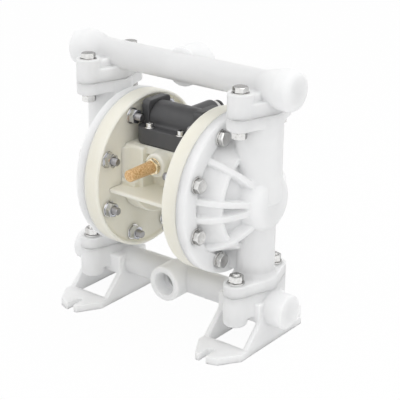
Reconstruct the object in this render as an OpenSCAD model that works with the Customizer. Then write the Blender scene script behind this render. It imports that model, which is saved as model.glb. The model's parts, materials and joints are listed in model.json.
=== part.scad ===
/* [Overall] */
// Height of the diaphragm axis above the floor
axis_h = 147.5; // [146:0.5:152]
// Distance from the middle of the pump to each port axis
port_x = 93.5; // [92:0.5:97]
// Half of the length over the manifold ends
end_x = 135.5; // [132:0.5:142]
// Distance from the middle of the pump to each diaphragm
joint_x = 57.5; // [57.5:0.25:58.5]
// General clearance between pieces that are assembled
seat_gap = 0.1; // [0.05:0.05:0.2]
// Running clearance of shafts and pins in their bores
run_gap = 0.05; // [0.02:0.01:0.08]

/* [Chamber flanges] */
// Outer diameter of the chamber flanges
flange_d = 163; // [161:1:168]
// Room between the chamber bolts' washers and the air chamber's rim
rim_play = 1.4; // [1:0.1:2.5]
// Number of bolts round each chamber
bolt_count = 8; // [8]
// Thickness of the outer chamber's flange under the bolt heads
outer_flange_t = 10; // [9:0.5:12]
// Thickness of the air chamber's flange over its rim
air_flange_t = 17.5; // [17:0.5:19]
// Depth of the dish that the chamber nuts sit in
dish_depth = 3.1; // [2.5:0.1:4]
// Width of the air chamber's raised rim
rim_w = 4.3; // [3:0.1:4.5]

/* [Outer chambers] */
// Radius of the ring wall on the dome
ring_r = 50.5; // [49:0.5:53]
// Width of the crest of the ring wall
ring_w = 3.5; // [3:0.25:4.5]
// Distance from the middle of the pump to the crest of the ring wall
ring_x = 88; // [86:0.5:90]
// Radius of the hub in the middle of the dome
hub_r = 29; // [27:0.5:31]
// Distance from the middle of the pump to the hub's end
hub_x = 113.5; // [111:0.5:116]
// Edge rounding of the hub
hub_round = 9; // [5:0.5:10]
// Thickness of the radial ribs
rib_t = 6; // [4:0.5:7]
// Angle of the paired ribs on each side of the level
pair_rib_angle = 8.5; // [8:0.5:11]
// Outer radius of the neck above the dome
upper_neck_r = 23; // [21:0.5:24]
// Outer radius of the neck below the dome
lower_neck_r = 18.5; // [18:0.5:20]
// Width of plastic between the bolt holes and the liquid space
seal_land = 9; // [8:0.5:10]
// Depth of the liquid space
cavity_depth = 20.5; // [20:0.5:21]

/* [Port joints] */
// Height of each port joint above or below the diaphragm axis
port_face_z = 89.5; // [88.5:0.5:91]
// Thickness of the ears on the chamber ports
ear_t = 12; // [10:0.5:12.5]
// Distance of the manifold bolts from the port axis
ear_y = 32.2; // [30.6:0.2:33]
// Outer radius of each ear and bolt column
ear_r = 12.2; // [11.4:0.1:12.6]
// Outer radius of the port flange round the bore
port_flange_r = 22; // [21:0.5:23]

/* [Manifolds] */
// Height of the top manifold's tube above the diaphragm axis
top_tube_z = 113.8; // [113:0.2:116]
// Depth of the bottom manifold's tube below the diaphragm axis
low_tube_z = 108.8; // [107:0.2:110]
// Outer radius of the manifold tubes
tube_r = 14.2; // [13.6:0.2:15]
// Radius of the passage in the manifold tubes
passage_r = 9.6; // [8:0.2:9.8]
// Radius of the rounded ends of the top manifold
bulb_r = 19.7; // [18:0.1:21]
// Radius of the ends of the bottom manifold
low_end_r = 17.4; // [16:0.2:18]
// Radius of the boss round the discharge port
top_port_boss_r = 19.6; // [18:0.2:21]
// Distance from the middle of the pump to where the top tube starts to widen
taper_x = 97; // [95:0.5:100]
// Distance from the middle of the pump to the full width of the top tube's ends
bulb_x = 119; // [117:0.5:122]
// Edge rounding of the top tube's ends
bulb_round = 6.5; // [4:0.5:9]
// Distance from the middle of the pump to where the bottom tube starts to widen
low_taper_x = 100; // [98:0.5:104]
// Distance from the middle of the pump to the full width of the bottom tube's ends
low_bulb_x = 116.5; // [114:0.5:119]
// Distance from the tube axis to the discharge port's face
top_port_len = 30.4; // [28:0.2:34]
// Radius of the boss round the suction port
low_port_boss_r = 18.6; // [17.5:0.1:19]
// Distance from the tube axis to the suction port's face
low_port_len = 28; // [26:0.2:32]
// Radius of the ports' wall, the core of a G 3/4 thread
port_thread_r = 12.06; // [12.06]
// Length of the ports' thread
port_thread_len = 16; // [14:0.5:17]
// Thickness of the O-rings at the port joints
o_ring_t = 1.9; // [1.6:0.1:2.2]
// Thickness of the webs between the top manifold's bolt columns
web_t = 18; // [14:1:20]

/* [Feet] */
// Distance from the middle of the pump to the inner side of each foot
foot_in_x = 64; // [62:0.5:66]
// Distance from the middle of the pump to the outer side of each foot
foot_out_x = 116; // [114:0.5:118]
// Length of each foot over its forked toes
foot_len = 151.6; // [148:0.1:156]
// Thickness of the toe plates
toe_t = 8; // [7:0.5:9]
// Thickness of the side walls of each foot
foot_wall_t = 5.5; // [4.5:0.5:6]
// Width of the open slot for a holding-down bolt
slot_w = 7.5; // [7:0.5:9]
// Length of the open slot
slot_len = 17; // [14:1:18]
// Half length of the foot's side walls on the floor
foot_wall_y = 48; // [44:1:50]
// Half width of the block between the foot's side walls, under the tube
foot_block_y = 22; // [15:1:23]
// Length of the bevelled part of each toe
toe_bevel = 23.5; // [20:0.5:25]

/* [Valves] */
// Radius of the valve balls
ball_r = 11; // [10.5:0.1:11.2]
// Lift of the valve balls
ball_lift = 5; // [4:0.5:5]
// Clearance round and under a ball at rest
ball_gap = 0.3; // [0.2:0.05:0.4]
// Outer radius of seats and cages
seat_r = 14; // [13.6:0.1:14.2]
// Thickness of the seat rings
seat_t = 6; // [5:0.5:7]
// Radius of the hole in the seat rings
seat_hole_r = 7.6; // [7:0.1:8]

/* [Diaphragm assembly] */
// Radius of the diaphragm shaft
shaft_r = 8; // [7:0.5:8.5]
// Radius of the shaft's threaded ends
stud_r = 5; // [4.5:0.5:5.5]
// Travel of the shaft to each side
stroke = 6; // [5:0.5:6]
// Thickness of the diaphragms
diaphragm_t = 3; // [2.5:0.25:3.5]
// Radius of the inner plates
inner_plate_r = 26; // [24:0.5:27]
// Thickness of the inner plates
inner_plate_t = 6; // [5:0.5:6.5]
// Radius of the outer plates
outer_plate_r = 26; // [24:0.5:28]
// Length of the outer plates over their hubs
outer_plate_len = 11.5; // [11:0.25:12]
// Radius of the pilot rod
pilot_r = 3; // [2.5:0.25:3.5]
// Travel of the pilot rod to each side
pilot_travel = 3; // [2.5:0.25:3]
// Depth of the pilot rod below the shaft
pilot_z = 20; // [19:0.5:22]
// Width of the diaphragm's clamped bead
bead_w = 6.5; // [5.5:0.25:7]
// Half width of the diaphragm's rolled ring on its hollow side
roll_w = 5; // [4:0.5:6]
// Room round the inner plates in the air chambers
plate_play = 1.5; // [1:0.25:2]
// Length of the shaft bushes
bush_len = 11.8; // [10:0.2:12]
// Wall of the shaft bushes
bush_wall = 2.9; // [2.5:0.1:3.2]
// Width of the shaft seals
seal_w = 2.6; // [2.2:0.1:3]
// Height of the shaft seals over the shaft
seal_h = 2.4; // [2:0.1:2.6]
// Distance from the bushes to the far side of the shaft seals
seal_step = 8; // [6:0.5:9]
// Width and height of the pilot seals
pilot_seal_w = 2; // [1.6:0.1:2.2]
// Depth of the pilot seals in the centre block
pilot_seal_depth = 9.8; // [8:0.2:12]

/* [Centre block] */
// Height of the face that carries the air valve, above the shaft
deck_z = 37; // [36.5:0.5:38]
// Thickness of the deck under the air valve
deck_t = 9; // [7:0.5:10]
// Half width of the end columns
column_y = 36; // [35.5:0.5:39]
// Thickness of the end columns along the shaft, from the air chamber
column_t = 23; // [20:0.5:24]
// Radius of the blend between the end columns and the air chambers
blend_r = 9; // [5:0.5:10]
// Radius of the round housings below the shaft
housing_r = 42; // [40:0.5:44]
// Thickness of the round housings along the shaft
housing_t = 17; // [15:0.5:20]
// Half width of the waist below the shelf
low_waist_y = 16; // [14:0.5:18]
// Depth of the waist's underside below the shaft
low_waist_z = 32; // [30:0.5:34]
// Half width of the body between the columns
waist_y = 20; // [18:0.5:22]
// Depth of the shelf below the shaft, at its top
shelf_z = 5.5; // [4:0.5:8]
// Thickness of the shelf
shelf_t = 4; // [3:0.5:5]
// Half width of the shelf
shelf_y = 60; // [56:0.5:61]
// Height of the exhaust boss above the shaft
exhaust_z = 23.6; // [22:0.2:25]
// Radius of the exhaust boss
exhaust_r = 10; // [9:0.5:11]
// Distance from the shaft to the exhaust boss's face
exhaust_len = 42.5; // [40:0.5:45]

/* [Air valve] */
// Height of the spool above the shaft
spool_z = 58.5; // [58.5:0.5:60]
// Radius of the valve's barrel
barrel_r = 17; // [16.5:0.5:17]
// Half length of the barrel and of the spool bore
barrel_x = 27.5; // [26:0.5:28]
// Half length of the valve's base
base_x = 37; // [34:0.5:38]
// Half width of the valve's base
base_y = 30; // [29:0.5:31]
// Height of the valve's base
base_t = 16.5; // [15:0.5:17]
// Corner radius of the valve's base
base_round = 12; // [8:1:12]
// Radius of the fillet between the valve's barrel and its base
saddle_r = 3.2; // [2:0.2:3.4]
// Thickness of the gasket under the valve
gasket_t = 1; // [0.5:0.25:1.5]
// Thickness of the end caps
cap_t = 9; // [7.5:0.5:9]
// Half width of the end caps
cap_y = 17.3; // [17.2:0.1:18]
// Height of the end caps over the spool axis
cap_rise = 19.5; // [18.5:0.5:20]
// Radius of the end cap screws
cap_screw_r = 1.5; // [1.5]
// Radius of the end cap screws' heads
cap_head_r = 2.9; // [2.75:0.05:3]
// Height of the end cap screws' heads
cap_head_h = 2.8; // [2.5:0.1:3]
// Length of the end cap screws in the valve body
cap_screw_depth = 8; // [6:0.5:10]
// Outer radius of the valve's sleeve
sleeve_r = 12; // [11.5:0.5:12]
// Radius of the spool's lands
spool_r = 9; // [8:0.5:9]
// Distance between the spool's seal grooves
spool_seal_step = 13.75; // [13.5:0.25:14]
// Width of the spool's seal grooves
spool_groove_w = 2.5; // [2.25:0.25:2.5]
// Depth of the spool's seal grooves
spool_groove_depth = 2; // [1.5:0.25:2]
// Travel of the spool to each side
spool_travel = 5; // [4:0.5:5]
// Radius of the air inlet boss
inlet_boss_r = 10.8; // [10:0.2:12]
// Distance from the spool axis to the air inlet's face
inlet_len = 50; // [48:0.5:54]
// Radius of the hole for the air tube
tube_hole_r = 4.05; // [4.05]

/* [Fitting and silencer] */
// Length of the hexagon of the air fitting
fitting_len = 6; // [5:0.5:8]
// Radius of the air fitting's threaded end
fitting_thread_r = 6.6; // [6.6]
// Radius of the head of the release collar
collar_head_r = 8; // [7.5:0.25:8.5]
// Length of the head of the release collar
collar_head_len = 5.5; // [4:0.5:6]
// Length of the silencer's brass collar
collar_len = 6; // [5:0.5:8]
// Radius of the silencer's threaded end
silencer_thread_r = 6; // [6]
// Radius of the silencer's sintered body
silencer_r = 6.4; // [6:0.1:7]
// Length of the silencer's sintered body
silencer_len = 32; // [28:1:36]

/* [Fasteners] */
// Diameter of the chamber and manifold bolts
bolt_d = 8; // [8]
// Radial clearance of the bolts in their holes
bolt_play = 0.5; // [0.3:0.1:0.6]
// Width across the flats of heads and nuts
hex_af = 13; // [13]
// Height of the bolt heads
head_h = 5.3; // [5.3]
// Height of the nuts
nut_h = 6.6; // [6.4:0.1:6.8]
// Outer radius of the washers
washer_r = 8.3; // [8:0.1:8.5]
// Thickness of the washers
washer_t = 1.6; // [1.6]
// Length of the chamber bolts
chamber_bolt_len = 40; // [38:1:42]
// Length of the manifold bolts
manifold_bolt_len = 45; // [45]
// Length of the bottom manifold bolts over their nuts
bolt_tip = 2; // [1:0.5:4]
// Radius of the valve's base screws
valve_screw_r = 2.5; // [2.5]
// Radius of the heads of the valve's base screws
valve_head_r = 3.8; // [3.6:0.1:4.2]
// Height of the heads of the valve's base screws
valve_head_h = 4; // [3.5:0.25:5]
// Radius of the washers on the valve's base
valve_washer_r = 5.2; // [4.8:0.1:5.2]
// Thickness of the washers on the valve's base
valve_washer_t = 1; // [0.8:0.1:1.2]

/* [Hidden] */
$fn = 72;

// Places that follow from the sizes above
flange_r = flange_d / 2;
bolt_r = bolt_d / 2;
hole_r = bolt_r + bolt_play;
bolt_circle_r = flange_r - rim_w - rim_play - washer_r;
cavity_r = bolt_circle_r - hole_r - seal_land;
head_x = joint_x + outer_flange_t;
flange_face_x = head_x + 1;
rim_x = joint_x - air_flange_t;
nut_x = rim_x + dish_depth;
wall = 4.5;
spigot_r = inner_plate_r + plate_play + wall;
spigot_len = 7.1;
spigot_x = nut_x - spigot_len;
bead_out_r = cavity_r + bead_w;
roll_r = (inner_plate_r + cavity_r) / 2;
bush_x = spigot_x - bush_len - seat_gap;
seal_x = bush_x + seat_gap - seal_step;
seal_play = 0.2;
pilot_seal_x = spigot_x - pilot_seal_depth;
neck_bore_r = 10.5;
outlet_seat_z = port_face_z - 10;
seat_edge_r = 8.6;
ball_rise = sqrt(ball_r * ball_r - seat_edge_r * seat_edge_r) + ball_gap;
stop_r = 8.5;
stop_rise = ball_rise + ball_lift + sqrt(ball_r * ball_r - stop_r * stop_r) + ball_gap;
cage_len = stop_rise + 4;
foot_mid_x = (foot_in_x + foot_out_x) / 2;
slot_x = foot_mid_x - 3.5;
toe_y = foot_len / 2;
valve_z = deck_z + gasket_t;
ledge_z = valve_z + base_t;
inner_face_x = joint_x - diaphragm_t / 2 - inner_plate_t;
roll_angle = asin(diaphragm_t / (roll_w + diaphragm_t));
valve_screw_x = 19.5;
valve_screw_y = 25.5;
column_x = nut_x - column_t;
housing_x = nut_x - housing_t;
tap_r = 2.5;
pilot_tap_x = 16;
exhaust_bore_r = 4;
o_ring_r = (seat_r + port_flange_r) / 2;
o_ring_w = o_ring_t + 1.1;
o_ring_depth = o_ring_t + seat_gap;
column_drop = 32;

// Outlines made of arcs and straight runs
function arc(c, r, a0, a1, n = 8) = [
    for (i = [0:n]) let (a = a0 + (a1 - a0) * i / n) [c[0] + r * cos(a), c[1] + r * sin(a)]
];
function rounded_box(w, h, r) = concat(
    arc([w - r, h - r], r, 0, 90), arc([r - w, h - r], r, 90, 180),
    arc([r - w, r - h], r, 180, 270), arc([w - r, r - h], r, 270, 360)
);
function oval(r0, r1, d) = let (t = asin((r0 - r1) / d)) concat(
    arc([0, 0], r0, -t, t), arc([0, d], r1, t, 180 - t, 16),
    arc([0, 0], r0, 180 - t, 180 + t), arc([0, -d], r1, 180 + t, 360 - t, 16)
);
function curve(a, b, c, n = 10) = [
    for (i = [0:n]) let (t = i / n) (1 - t) * (1 - t) * a + 2 * t * (1 - t) * b + t * t * c
];

module lifted() translate([0, 0, axis_h]) children();
module right() lifted() children();
module left() lifted() mirror([1, 0, 0]) children();
module along_x() rotate([90, 0, 90]) children();
module turned(points) rotate([0, 90, 0]) rotate_extrude() polygon(points);
module around_bolts() {
    for (i = [0:bolt_count - 1])
        rotate([(i + 0.5) * 360 / bolt_count, 0, 0]) translate([0, bolt_circle_r, 0]) children();
}
module at_ears() for (s = [-1, 1]) translate([port_x, s * ear_y, 0]) children();
module both_sides() for (s = [0, 1]) mirror([s, 0, 0]) children();
module ring(r_out, r_in, h) difference() {
    cylinder(r = r_out, h = h);
    translate([0, 0, -1]) cylinder(r = r_in, h = h + 2);
}
module hex(h) cylinder(r = hex_af / 2 / cos(30), h = h, $fn = 6);

// Outer chamber: flange, ribbed dome, hub and the two necks with their eared ports
module dome() turned([
    [0, joint_x], [flange_r, joint_x], [flange_r, flange_face_x - 1.5], [flange_r - 1.5, flange_face_x],
    [bolt_circle_r - 4, flange_face_x], [bolt_circle_r - 5, head_x - 2], [bolt_circle_r - 8, head_x - 2],
    [ring_r + 1, ring_x - 1.5], [ring_r, ring_x], [ring_r - ring_w, ring_x],
    [ring_r - ring_w - 1, ring_x - 1], [ring_r - ring_w - 2, ring_x - 6],
    [hub_r, ring_x + 4], [0, ring_x + 4]
]);
module hub() turned(concat(
    [[0, ring_x - 8], [hub_r, ring_x - 8]],
    arc([hub_r - hub_round, hub_x - hub_round], hub_round, 0, 90), [[0, hub_x]]
));
module rib(angle) rotate([angle, 0, 0]) linear_extrude(height = rib_t, center = true) polygon(concat(
    [[joint_x + 2, 12], [joint_x + 2, bolt_circle_r - 5.5]],
    curve(
        [flange_face_x - 0.6, bolt_circle_r - 2.5],
        [flange_face_x + 23.5, bolt_circle_r - 7.5],
        [ring_x + 18, hub_r - 2]
    ),
    [[ring_x + 18, 12]]
));
module eared(h) {
    linear_extrude(height = h) polygon(oval(port_flange_r - 0.4, ear_r - 0.4, ear_y));
    cylinder(r = port_flange_r, h = h);
    for (s = [-1, 1]) translate([0, s * ear_y, 0]) cylinder(r = ear_r, h = h);
}
module port_ear(z) translate([port_x, 0, z]) eared(ear_t);
module necks() {
    translate([port_x, 0, 0]) cylinder(r = upper_neck_r, h = port_face_z - 1);
    translate([port_x, 0, 1 - port_face_z]) cylinder(r = lower_neck_r, h = port_face_z - 1);
    translate([port_x, 0, -port_face_z + ear_t - 1])
        cylinder(r1 = port_flange_r - 0.5, r2 = lower_neck_r, h = 7);
    translate([joint_x + 2, -14, 35]) cube([port_x - joint_x - 2, 28, port_face_z - ear_t - 37]);
    translate([joint_x + 2, -11, -port_face_z + ear_t + 2])
        cube([port_x - joint_x - 2, 22, port_face_z - ear_t - 37]);
}
module liquid_space() {
    turned([
        [0, joint_x - 1], [cavity_r, joint_x - 1], [cavity_r, joint_x + 1],
        [cavity_r - 5, joint_x + 9], [cavity_r - 12, joint_x + cavity_depth - 2],
        [cavity_r - 16, joint_x + cavity_depth], [0, joint_x + cavity_depth]
    ]);
    translate([joint_x + cavity_depth - 2, 0, 0]) rotate([0, 90, 0])
        cylinder(r = 14, h = port_x - joint_x - cavity_depth + 2);
    translate([port_x, 0, -port_face_z - 1]) cylinder(r = neck_bore_r, h = 2 * port_face_z + 2);
    translate([port_x, 0, -port_face_z - 1]) cylinder(r = seat_r + seat_gap, h = cage_len + 1);
    translate([port_x, 0, outlet_seat_z - seat_t]) cylinder(r = seat_r + seat_gap, h = port_face_z);
}
module bead_groove() translate([joint_x - diaphragm_t / 2, 0, 0]) rotate([0, 90, 0])
    ring(bead_out_r + seat_gap, cavity_r - 1, diaphragm_t);
module outer_chamber() color("whitesmoke") difference() {
    union() {
        dome();
        hub();
        for (a = [45, 135, 225, 315]) rib(a);
        for (a = [0, 180], s = [-1, 1]) rib(a + s * pair_rib_angle);
        necks();
        port_ear(port_face_z - ear_t);
        port_ear(-port_face_z);
    }
    liquid_space();
    bead_groove();
    around_bolts() translate([joint_x - 1, 0, 0]) rotate([0, 90, 0])
        cylinder(r = hole_r, h = outer_flange_t + 3);
    around_bolts() translate([head_x, 0, 0]) rotate([0, 90, 0]) cylinder(r = washer_r + 1, h = 9);
    at_ears() for (s = [-1, 1]) translate([0, 0, s * (port_face_z - ear_t / 2) - ear_t])
        cylinder(r = hole_r, h = 2 * ear_t);
}
module outer_chamber_left() left() outer_chamber();
module outer_chamber_right() right() outer_chamber();

// Air chamber: dished disc with a raised rim and a spigot that enters the centre block
module air_chamber() color("antiquewhite") difference() {
    turned([
        [0, spigot_x], [spigot_r, spigot_x], [spigot_r, nut_x], [flange_r - rim_w, nut_x],
        [flange_r - rim_w + 0.6, rim_x + 0.8], [flange_r - rim_w + 1.2, rim_x],
        [flange_r - 1.5, rim_x], [flange_r, rim_x + 1.5], [flange_r, joint_x], [0, joint_x]
    ]);
    turned([
        [0, spigot_x + wall], [spigot_r - wall, spigot_x + wall], [spigot_r - 2, nut_x + wall],
        [cavity_r - 6, nut_x + wall], [cavity_r, joint_x - 3], [cavity_r, joint_x + 1], [0, joint_x + 1]
    ]);
    bead_groove();
    translate([spigot_x - 1, 0, 0]) rotate([0, 90, 0]) cylinder(r = shaft_r + 0.6, h = wall + 2);
    translate([spigot_x - 1, 0, -pilot_z]) rotate([0, 90, 0]) cylinder(r = pilot_r + run_gap, h = wall + 2);
    translate([spigot_x - 1, 0, pilot_z]) rotate([0, 90, 0]) cylinder(r = tap_r, h = wall + 2);
    around_bolts() translate([nut_x - 1, 0, 0]) rotate([0, 90, 0])
        cylinder(r = hole_r, h = joint_x - nut_x + 2);
}
module air_chamber_left() left() air_chamber();
module air_chamber_right() right() air_chamber();

// Centre block: end columns blended into the air chambers, waist, shelf, valve deck and exhaust boss
module end_column() translate([column_x, 0, 0]) along_x() linear_extrude(height = column_t)
    polygon(concat(
        arc([column_y - 3, deck_z - 4], 3, 0, 90, 4), arc([3 - column_y, deck_z - 4], 3, 90, 180, 4),
        [[-column_y, -shelf_z - 1], [column_y, -shelf_z - 1]]
    ));
module round_housing() translate([housing_x, 0, 0]) along_x()
    linear_extrude(height = housing_t) intersection() {
    circle(r = housing_r);
    translate([-housing_r, -housing_r]) square([2 * housing_r, housing_r]);
}
blend_h = deck_z + shelf_z - 3;
module column_blend() translate([0, 0, -shelf_z - 1]) linear_extrude(height = blend_h) polygon(concat(
    [[nut_x - blend_r, column_y - 2], [nut_x, column_y - 2]],
    arc([nut_x - blend_r, column_y + blend_r], blend_r, 360, 270)
));
module centre_solid() {
    both_sides() {
        end_column();
        round_housing();
        for (s = [0, 1]) mirror([0, s, 0]) column_blend();
    }
    translate([-column_x - 1, -waist_y, -shelf_z])
        cube([2 * column_x + 2, 2 * waist_y, deck_z + shelf_z - 2]);
    translate([-housing_x - 1, -low_waist_y, -low_waist_z])
        cube([2 * housing_x + 2, 2 * low_waist_y, low_waist_z - 2]);
    translate([-base_x, -base_y, deck_z - deck_t]) cube([2 * base_x, 2 * base_y, deck_t]);
    translate([-nut_x, -shelf_y, -shelf_z - shelf_t]) cube([2 * nut_x, 2 * shelf_y, shelf_t]);
    translate([0, -waist_y + 2, exhaust_z]) rotate([90, 0, 0])
        cylinder(r = exhaust_r, h = exhaust_len - waist_y + 2);
}
module centre_block() color("ivory") lifted() difference() {
    centre_solid();
    both_sides() {
        translate([spigot_x, 0, 0]) rotate([0, 90, 0]) cylinder(r = spigot_r + seat_gap, h = 2 * spigot_len);
        translate([bush_x - seat_gap, 0, 0]) rotate([0, 90, 0])
            cylinder(r = shaft_r + bush_wall + seat_gap, h = bush_len + spigot_len);
        translate([seal_x - seal_play, 0, 0]) rotate([0, 90, 0])
            cylinder(r = shaft_r + seal_h + seat_gap, h = seal_w + 2 * seal_play);
        translate([pilot_seal_x - seal_play, 0, -pilot_z]) rotate([0, 90, 0])
            cylinder(r = pilot_r + pilot_seal_w + seat_gap, h = pilot_seal_w + 2 * seal_play);
        translate([pilot_tap_x, 0, pilot_z]) rotate([0, 90, 0]) cylinder(r = tap_r, h = 30);
        translate([pilot_tap_x, 0, pilot_z]) cylinder(r = tap_r, h = 30);
    }
    translate([-nut_x, 0, 0]) rotate([0, 90, 0]) cylinder(r = shaft_r + run_gap + 0.3, h = 2 * nut_x);
    translate([-nut_x, 0, -pilot_z]) rotate([0, 90, 0]) cylinder(r = pilot_r + run_gap, h = 2 * nut_x);
    translate([0, 0, exhaust_z]) cylinder(r = exhaust_bore_r, h = 30);
    translate([0, 0, exhaust_z]) rotate([90, 0, 0]) cylinder(r = exhaust_bore_r, h = exhaust_len + 1);
    translate([0, -exhaust_len + 10, exhaust_z]) rotate([90, 0, 0])
        cylinder(r = silencer_thread_r + run_gap, h = 11);
    at_screw_places() translate([0, 0, deck_z - 8]) cylinder(r = valve_screw_r + run_gap, h = 20);
}
module at_screw_places() for (x = [-1, 1], y = [-1, 1])
    translate([x * valve_screw_x, y * valve_screw_y, 0]) children();

// Diaphragm: clamped bead, one rolled ring and a flat middle between the plates
module diaphragm() color("linen") turned(concat(
    [[stud_r + seat_gap, joint_x - diaphragm_t / 2]],
    arc([roll_r, joint_x - diaphragm_t / 2], roll_w, 180, 0),
    [[bead_out_r, joint_x - diaphragm_t / 2], [bead_out_r, joint_x + diaphragm_t / 2]],
    arc([roll_r, joint_x - diaphragm_t / 2], roll_w + diaphragm_t, roll_angle, 180 - roll_angle),
    [[stud_r + seat_gap, joint_x + diaphragm_t / 2]]
));
module diaphragm_left() left() diaphragm();
module diaphragm_right() right() diaphragm();
module inner_plate() color("silver") turned([
    [stud_r + seat_gap, inner_face_x], [inner_plate_r - 4, inner_face_x], [inner_plate_r, inner_face_x + 2.5],
    [inner_plate_r, joint_x - diaphragm_t / 2], [stud_r + seat_gap, joint_x - diaphragm_t / 2]
]);
module inner_plate_left() left() inner_plate();
module inner_plate_right() right() inner_plate();
module outer_plate() color("whitesmoke") turned([
    [stud_r + seat_gap, joint_x + diaphragm_t / 2], [outer_plate_r, joint_x + diaphragm_t / 2],
    [outer_plate_r, joint_x + diaphragm_t / 2 + 3], [outer_plate_r - 5, joint_x + diaphragm_t / 2 + 5.5],
    [12, joint_x + diaphragm_t / 2 + 7], [9, joint_x + diaphragm_t / 2 + outer_plate_len],
    [0, joint_x + diaphragm_t / 2 + outer_plate_len], [0, joint_x + diaphragm_t / 2 + 9],
    [stud_r + seat_gap, joint_x + diaphragm_t / 2 + 9]
]);
module outer_plate_left() left() outer_plate();
module outer_plate_right() right() outer_plate();
module diaphragm_shaft() color("silver") lifted() union() {
    rotate([0, 90, 0]) cylinder(r = shaft_r, h = 2 * (inner_face_x - 0.1), center = true);
    rotate([0, 90, 0]) cylinder(r = stud_r, h = 2 * (joint_x + diaphragm_t / 2 + 8), center = true);
}
module shaft_bushes() color("burlywood") lifted() both_sides() translate([bush_x, 0, 0])
    rotate([0, 90, 0]) ring(shaft_r + bush_wall, shaft_r + run_gap, bush_len);
module shaft_seals() color("dimgray") lifted() both_sides() translate([seal_x, 0, 0])
    rotate([0, 90, 0]) ring(shaft_r + seal_h, shaft_r + run_gap, seal_w);
module pilot_rod() color("silver") lifted() translate([0, 0, -pilot_z]) rotate([0, 90, 0])
    cylinder(r = pilot_r, h = 2 * (inner_face_x - stroke + pilot_travel - 0.3), center = true);
module pilot_seals() color("dimgray") lifted() both_sides() translate([pilot_seal_x, 0, -pilot_z])
    rotate([0, 90, 0]) ring(pilot_r + pilot_seal_w, pilot_r + run_gap, pilot_seal_w);

// Air valve on the deck of the centre block
module saddle() translate([-barrel_x, 0, 0]) along_x() linear_extrude(height = 2 * barrel_x) polygon(concat(
    [[-barrel_r, spool_z], [-barrel_r, ledge_z + saddle_r]],
    arc([-barrel_r - saddle_r, ledge_z + saddle_r], saddle_r, 360, 270, 4),
    [[-barrel_r - saddle_r, valve_z + 1], [barrel_r + saddle_r, valve_z + 1]],
    arc([barrel_r + saddle_r, ledge_z + saddle_r], saddle_r, 270, 180, 4),
    [[barrel_r, spool_z]]
));
module air_taps(h, play) for (x = [-pilot_tap_x, 0, pilot_tap_x])
    translate([x, 0, 0]) cylinder(r = play + (x == 0 ? exhaust_bore_r : tap_r), h = h);
module valve_body() color([0.3, 0.3, 0.32]) lifted() difference() {
    union() {
        translate([0, 0, valve_z]) linear_extrude(height = base_t)
            polygon(rounded_box(base_x, base_y, base_round));
        translate([0, 0, spool_z]) rotate([0, 90, 0]) cylinder(r = barrel_r, h = 2 * barrel_x, center = true);
        saddle();
        translate([0, 0, spool_z]) rotate([-90, 0, 0]) turned_boss(inlet_boss_r, inlet_len);
    }
    both_sides() translate([barrel_x, -cap_y - 0.3, valve_z - 1]) cube([20, 2 * cap_y + 0.6, 60]);
    translate([0, 0, spool_z]) rotate([0, 90, 0]) cylinder(r = sleeve_r + seat_gap, h = 100, center = true);
    translate([0, 0, spool_z]) rotate([-90, 0, 0]) cylinder(r = 5, h = 60);
    translate([0, inlet_len - 9, spool_z]) rotate([-90, 0, 0])
        cylinder(r = fitting_thread_r + run_gap, h = 20);
    translate([0, 0, valve_z - 1]) air_taps(12, 0);
    at_screw_places() translate([0, 0, valve_z - 1]) cylinder(r = valve_screw_r + 0.3, h = base_t + 2);
    both_sides() cap_screw_places() rotate([0, 90, 0]) translate([0, 0, barrel_x - cap_screw_depth - 1])
        cylinder(r = cap_screw_r + seat_gap, h = 12);
}
module turned_boss(r, h) rotate_extrude()
    polygon(concat([[0, 0], [r, 0]], arc([r - 2, h - 2], 2, 0, 90, 4), [[0, h]]));
module cap_screw_places() for (y = [-1, 1], z = [-1, 1])
    translate([0, y * cap_screw_y, spool_z + z * cap_screw_y]) children();
cap_screw_y = (sleeve_r + barrel_r) / 2 * cos(45);
cap_top_z = spool_z + cap_rise;
cap_low_z = valve_z + 1.5;
module valve_cap() color([0.27, 0.27, 0.29]) difference() {
    translate([barrel_x + seat_gap, 0, (cap_low_z + cap_top_z) / 2]) along_x()
        linear_extrude(height = cap_t - seat_gap) polygon(rounded_box(cap_y, (cap_top_z - cap_low_z) / 2, 5));
    cap_screw_places() rotate([0, 90, 0]) translate([0, 0, barrel_x - 1])
        cylinder(r = cap_screw_r + 0.3, h = cap_t + 2);
    cap_screw_places() rotate([0, 90, 0]) translate([0, 0, cap_head_x - seat_gap])
        cylinder(r = cap_head_r + 0.2, h = cap_head_h + 2);
}
module valve_cap_left() left() valve_cap();
module valve_cap_right() right() valve_cap();
cap_head_x = barrel_x + cap_t - cap_head_h - 0.3;
module at_cap_screws() lifted() both_sides() cap_screw_places() rotate([0, 90, 0]) children();
module valve_cap_screws() color("silver") at_cap_screws() union() {
    translate([0, 0, barrel_x - cap_screw_depth])
        cylinder(r = cap_screw_r, h = cap_head_x + 0.5 - barrel_x + cap_screw_depth);
    difference() {
        translate([0, 0, cap_head_x]) cylinder(r = cap_head_r, h = cap_head_h);
        translate([0, 0, cap_head_x + cap_head_h / 2]) cylinder(r = 1.5, h = cap_head_h, $fn = 6);
    }
}
module valve_sleeve() color("gold") lifted() translate([0, 0, spool_z]) difference() {
    rotate([0, 90, 0]) cylinder(r = sleeve_r, h = 2 * barrel_x - 0.4, center = true);
    rotate([0, 90, 0]) cylinder(r = spool_r + run_gap, h = 2 * barrel_x + 2, center = true);
    for (x = [-pilot_tap_x, 0, pilot_tap_x]) translate([x, 0, -30]) cylinder(r = 2.2, h = 30);
    rotate([-90, 0, 0]) cylinder(r = 3.5, h = 30);
}
spool_half = barrel_x - spool_travel - 0.5;
land_r = spool_r - spool_groove_depth;
neck_r = land_r - 1.5;
groove_half = spool_groove_w / 2;
groove_in = spool_seal_step - groove_half;
groove_out = spool_seal_step + groove_half;
waist_in = spool_seal_step / 2 - 2;
waist_out = spool_seal_step / 2 + 2;
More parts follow.
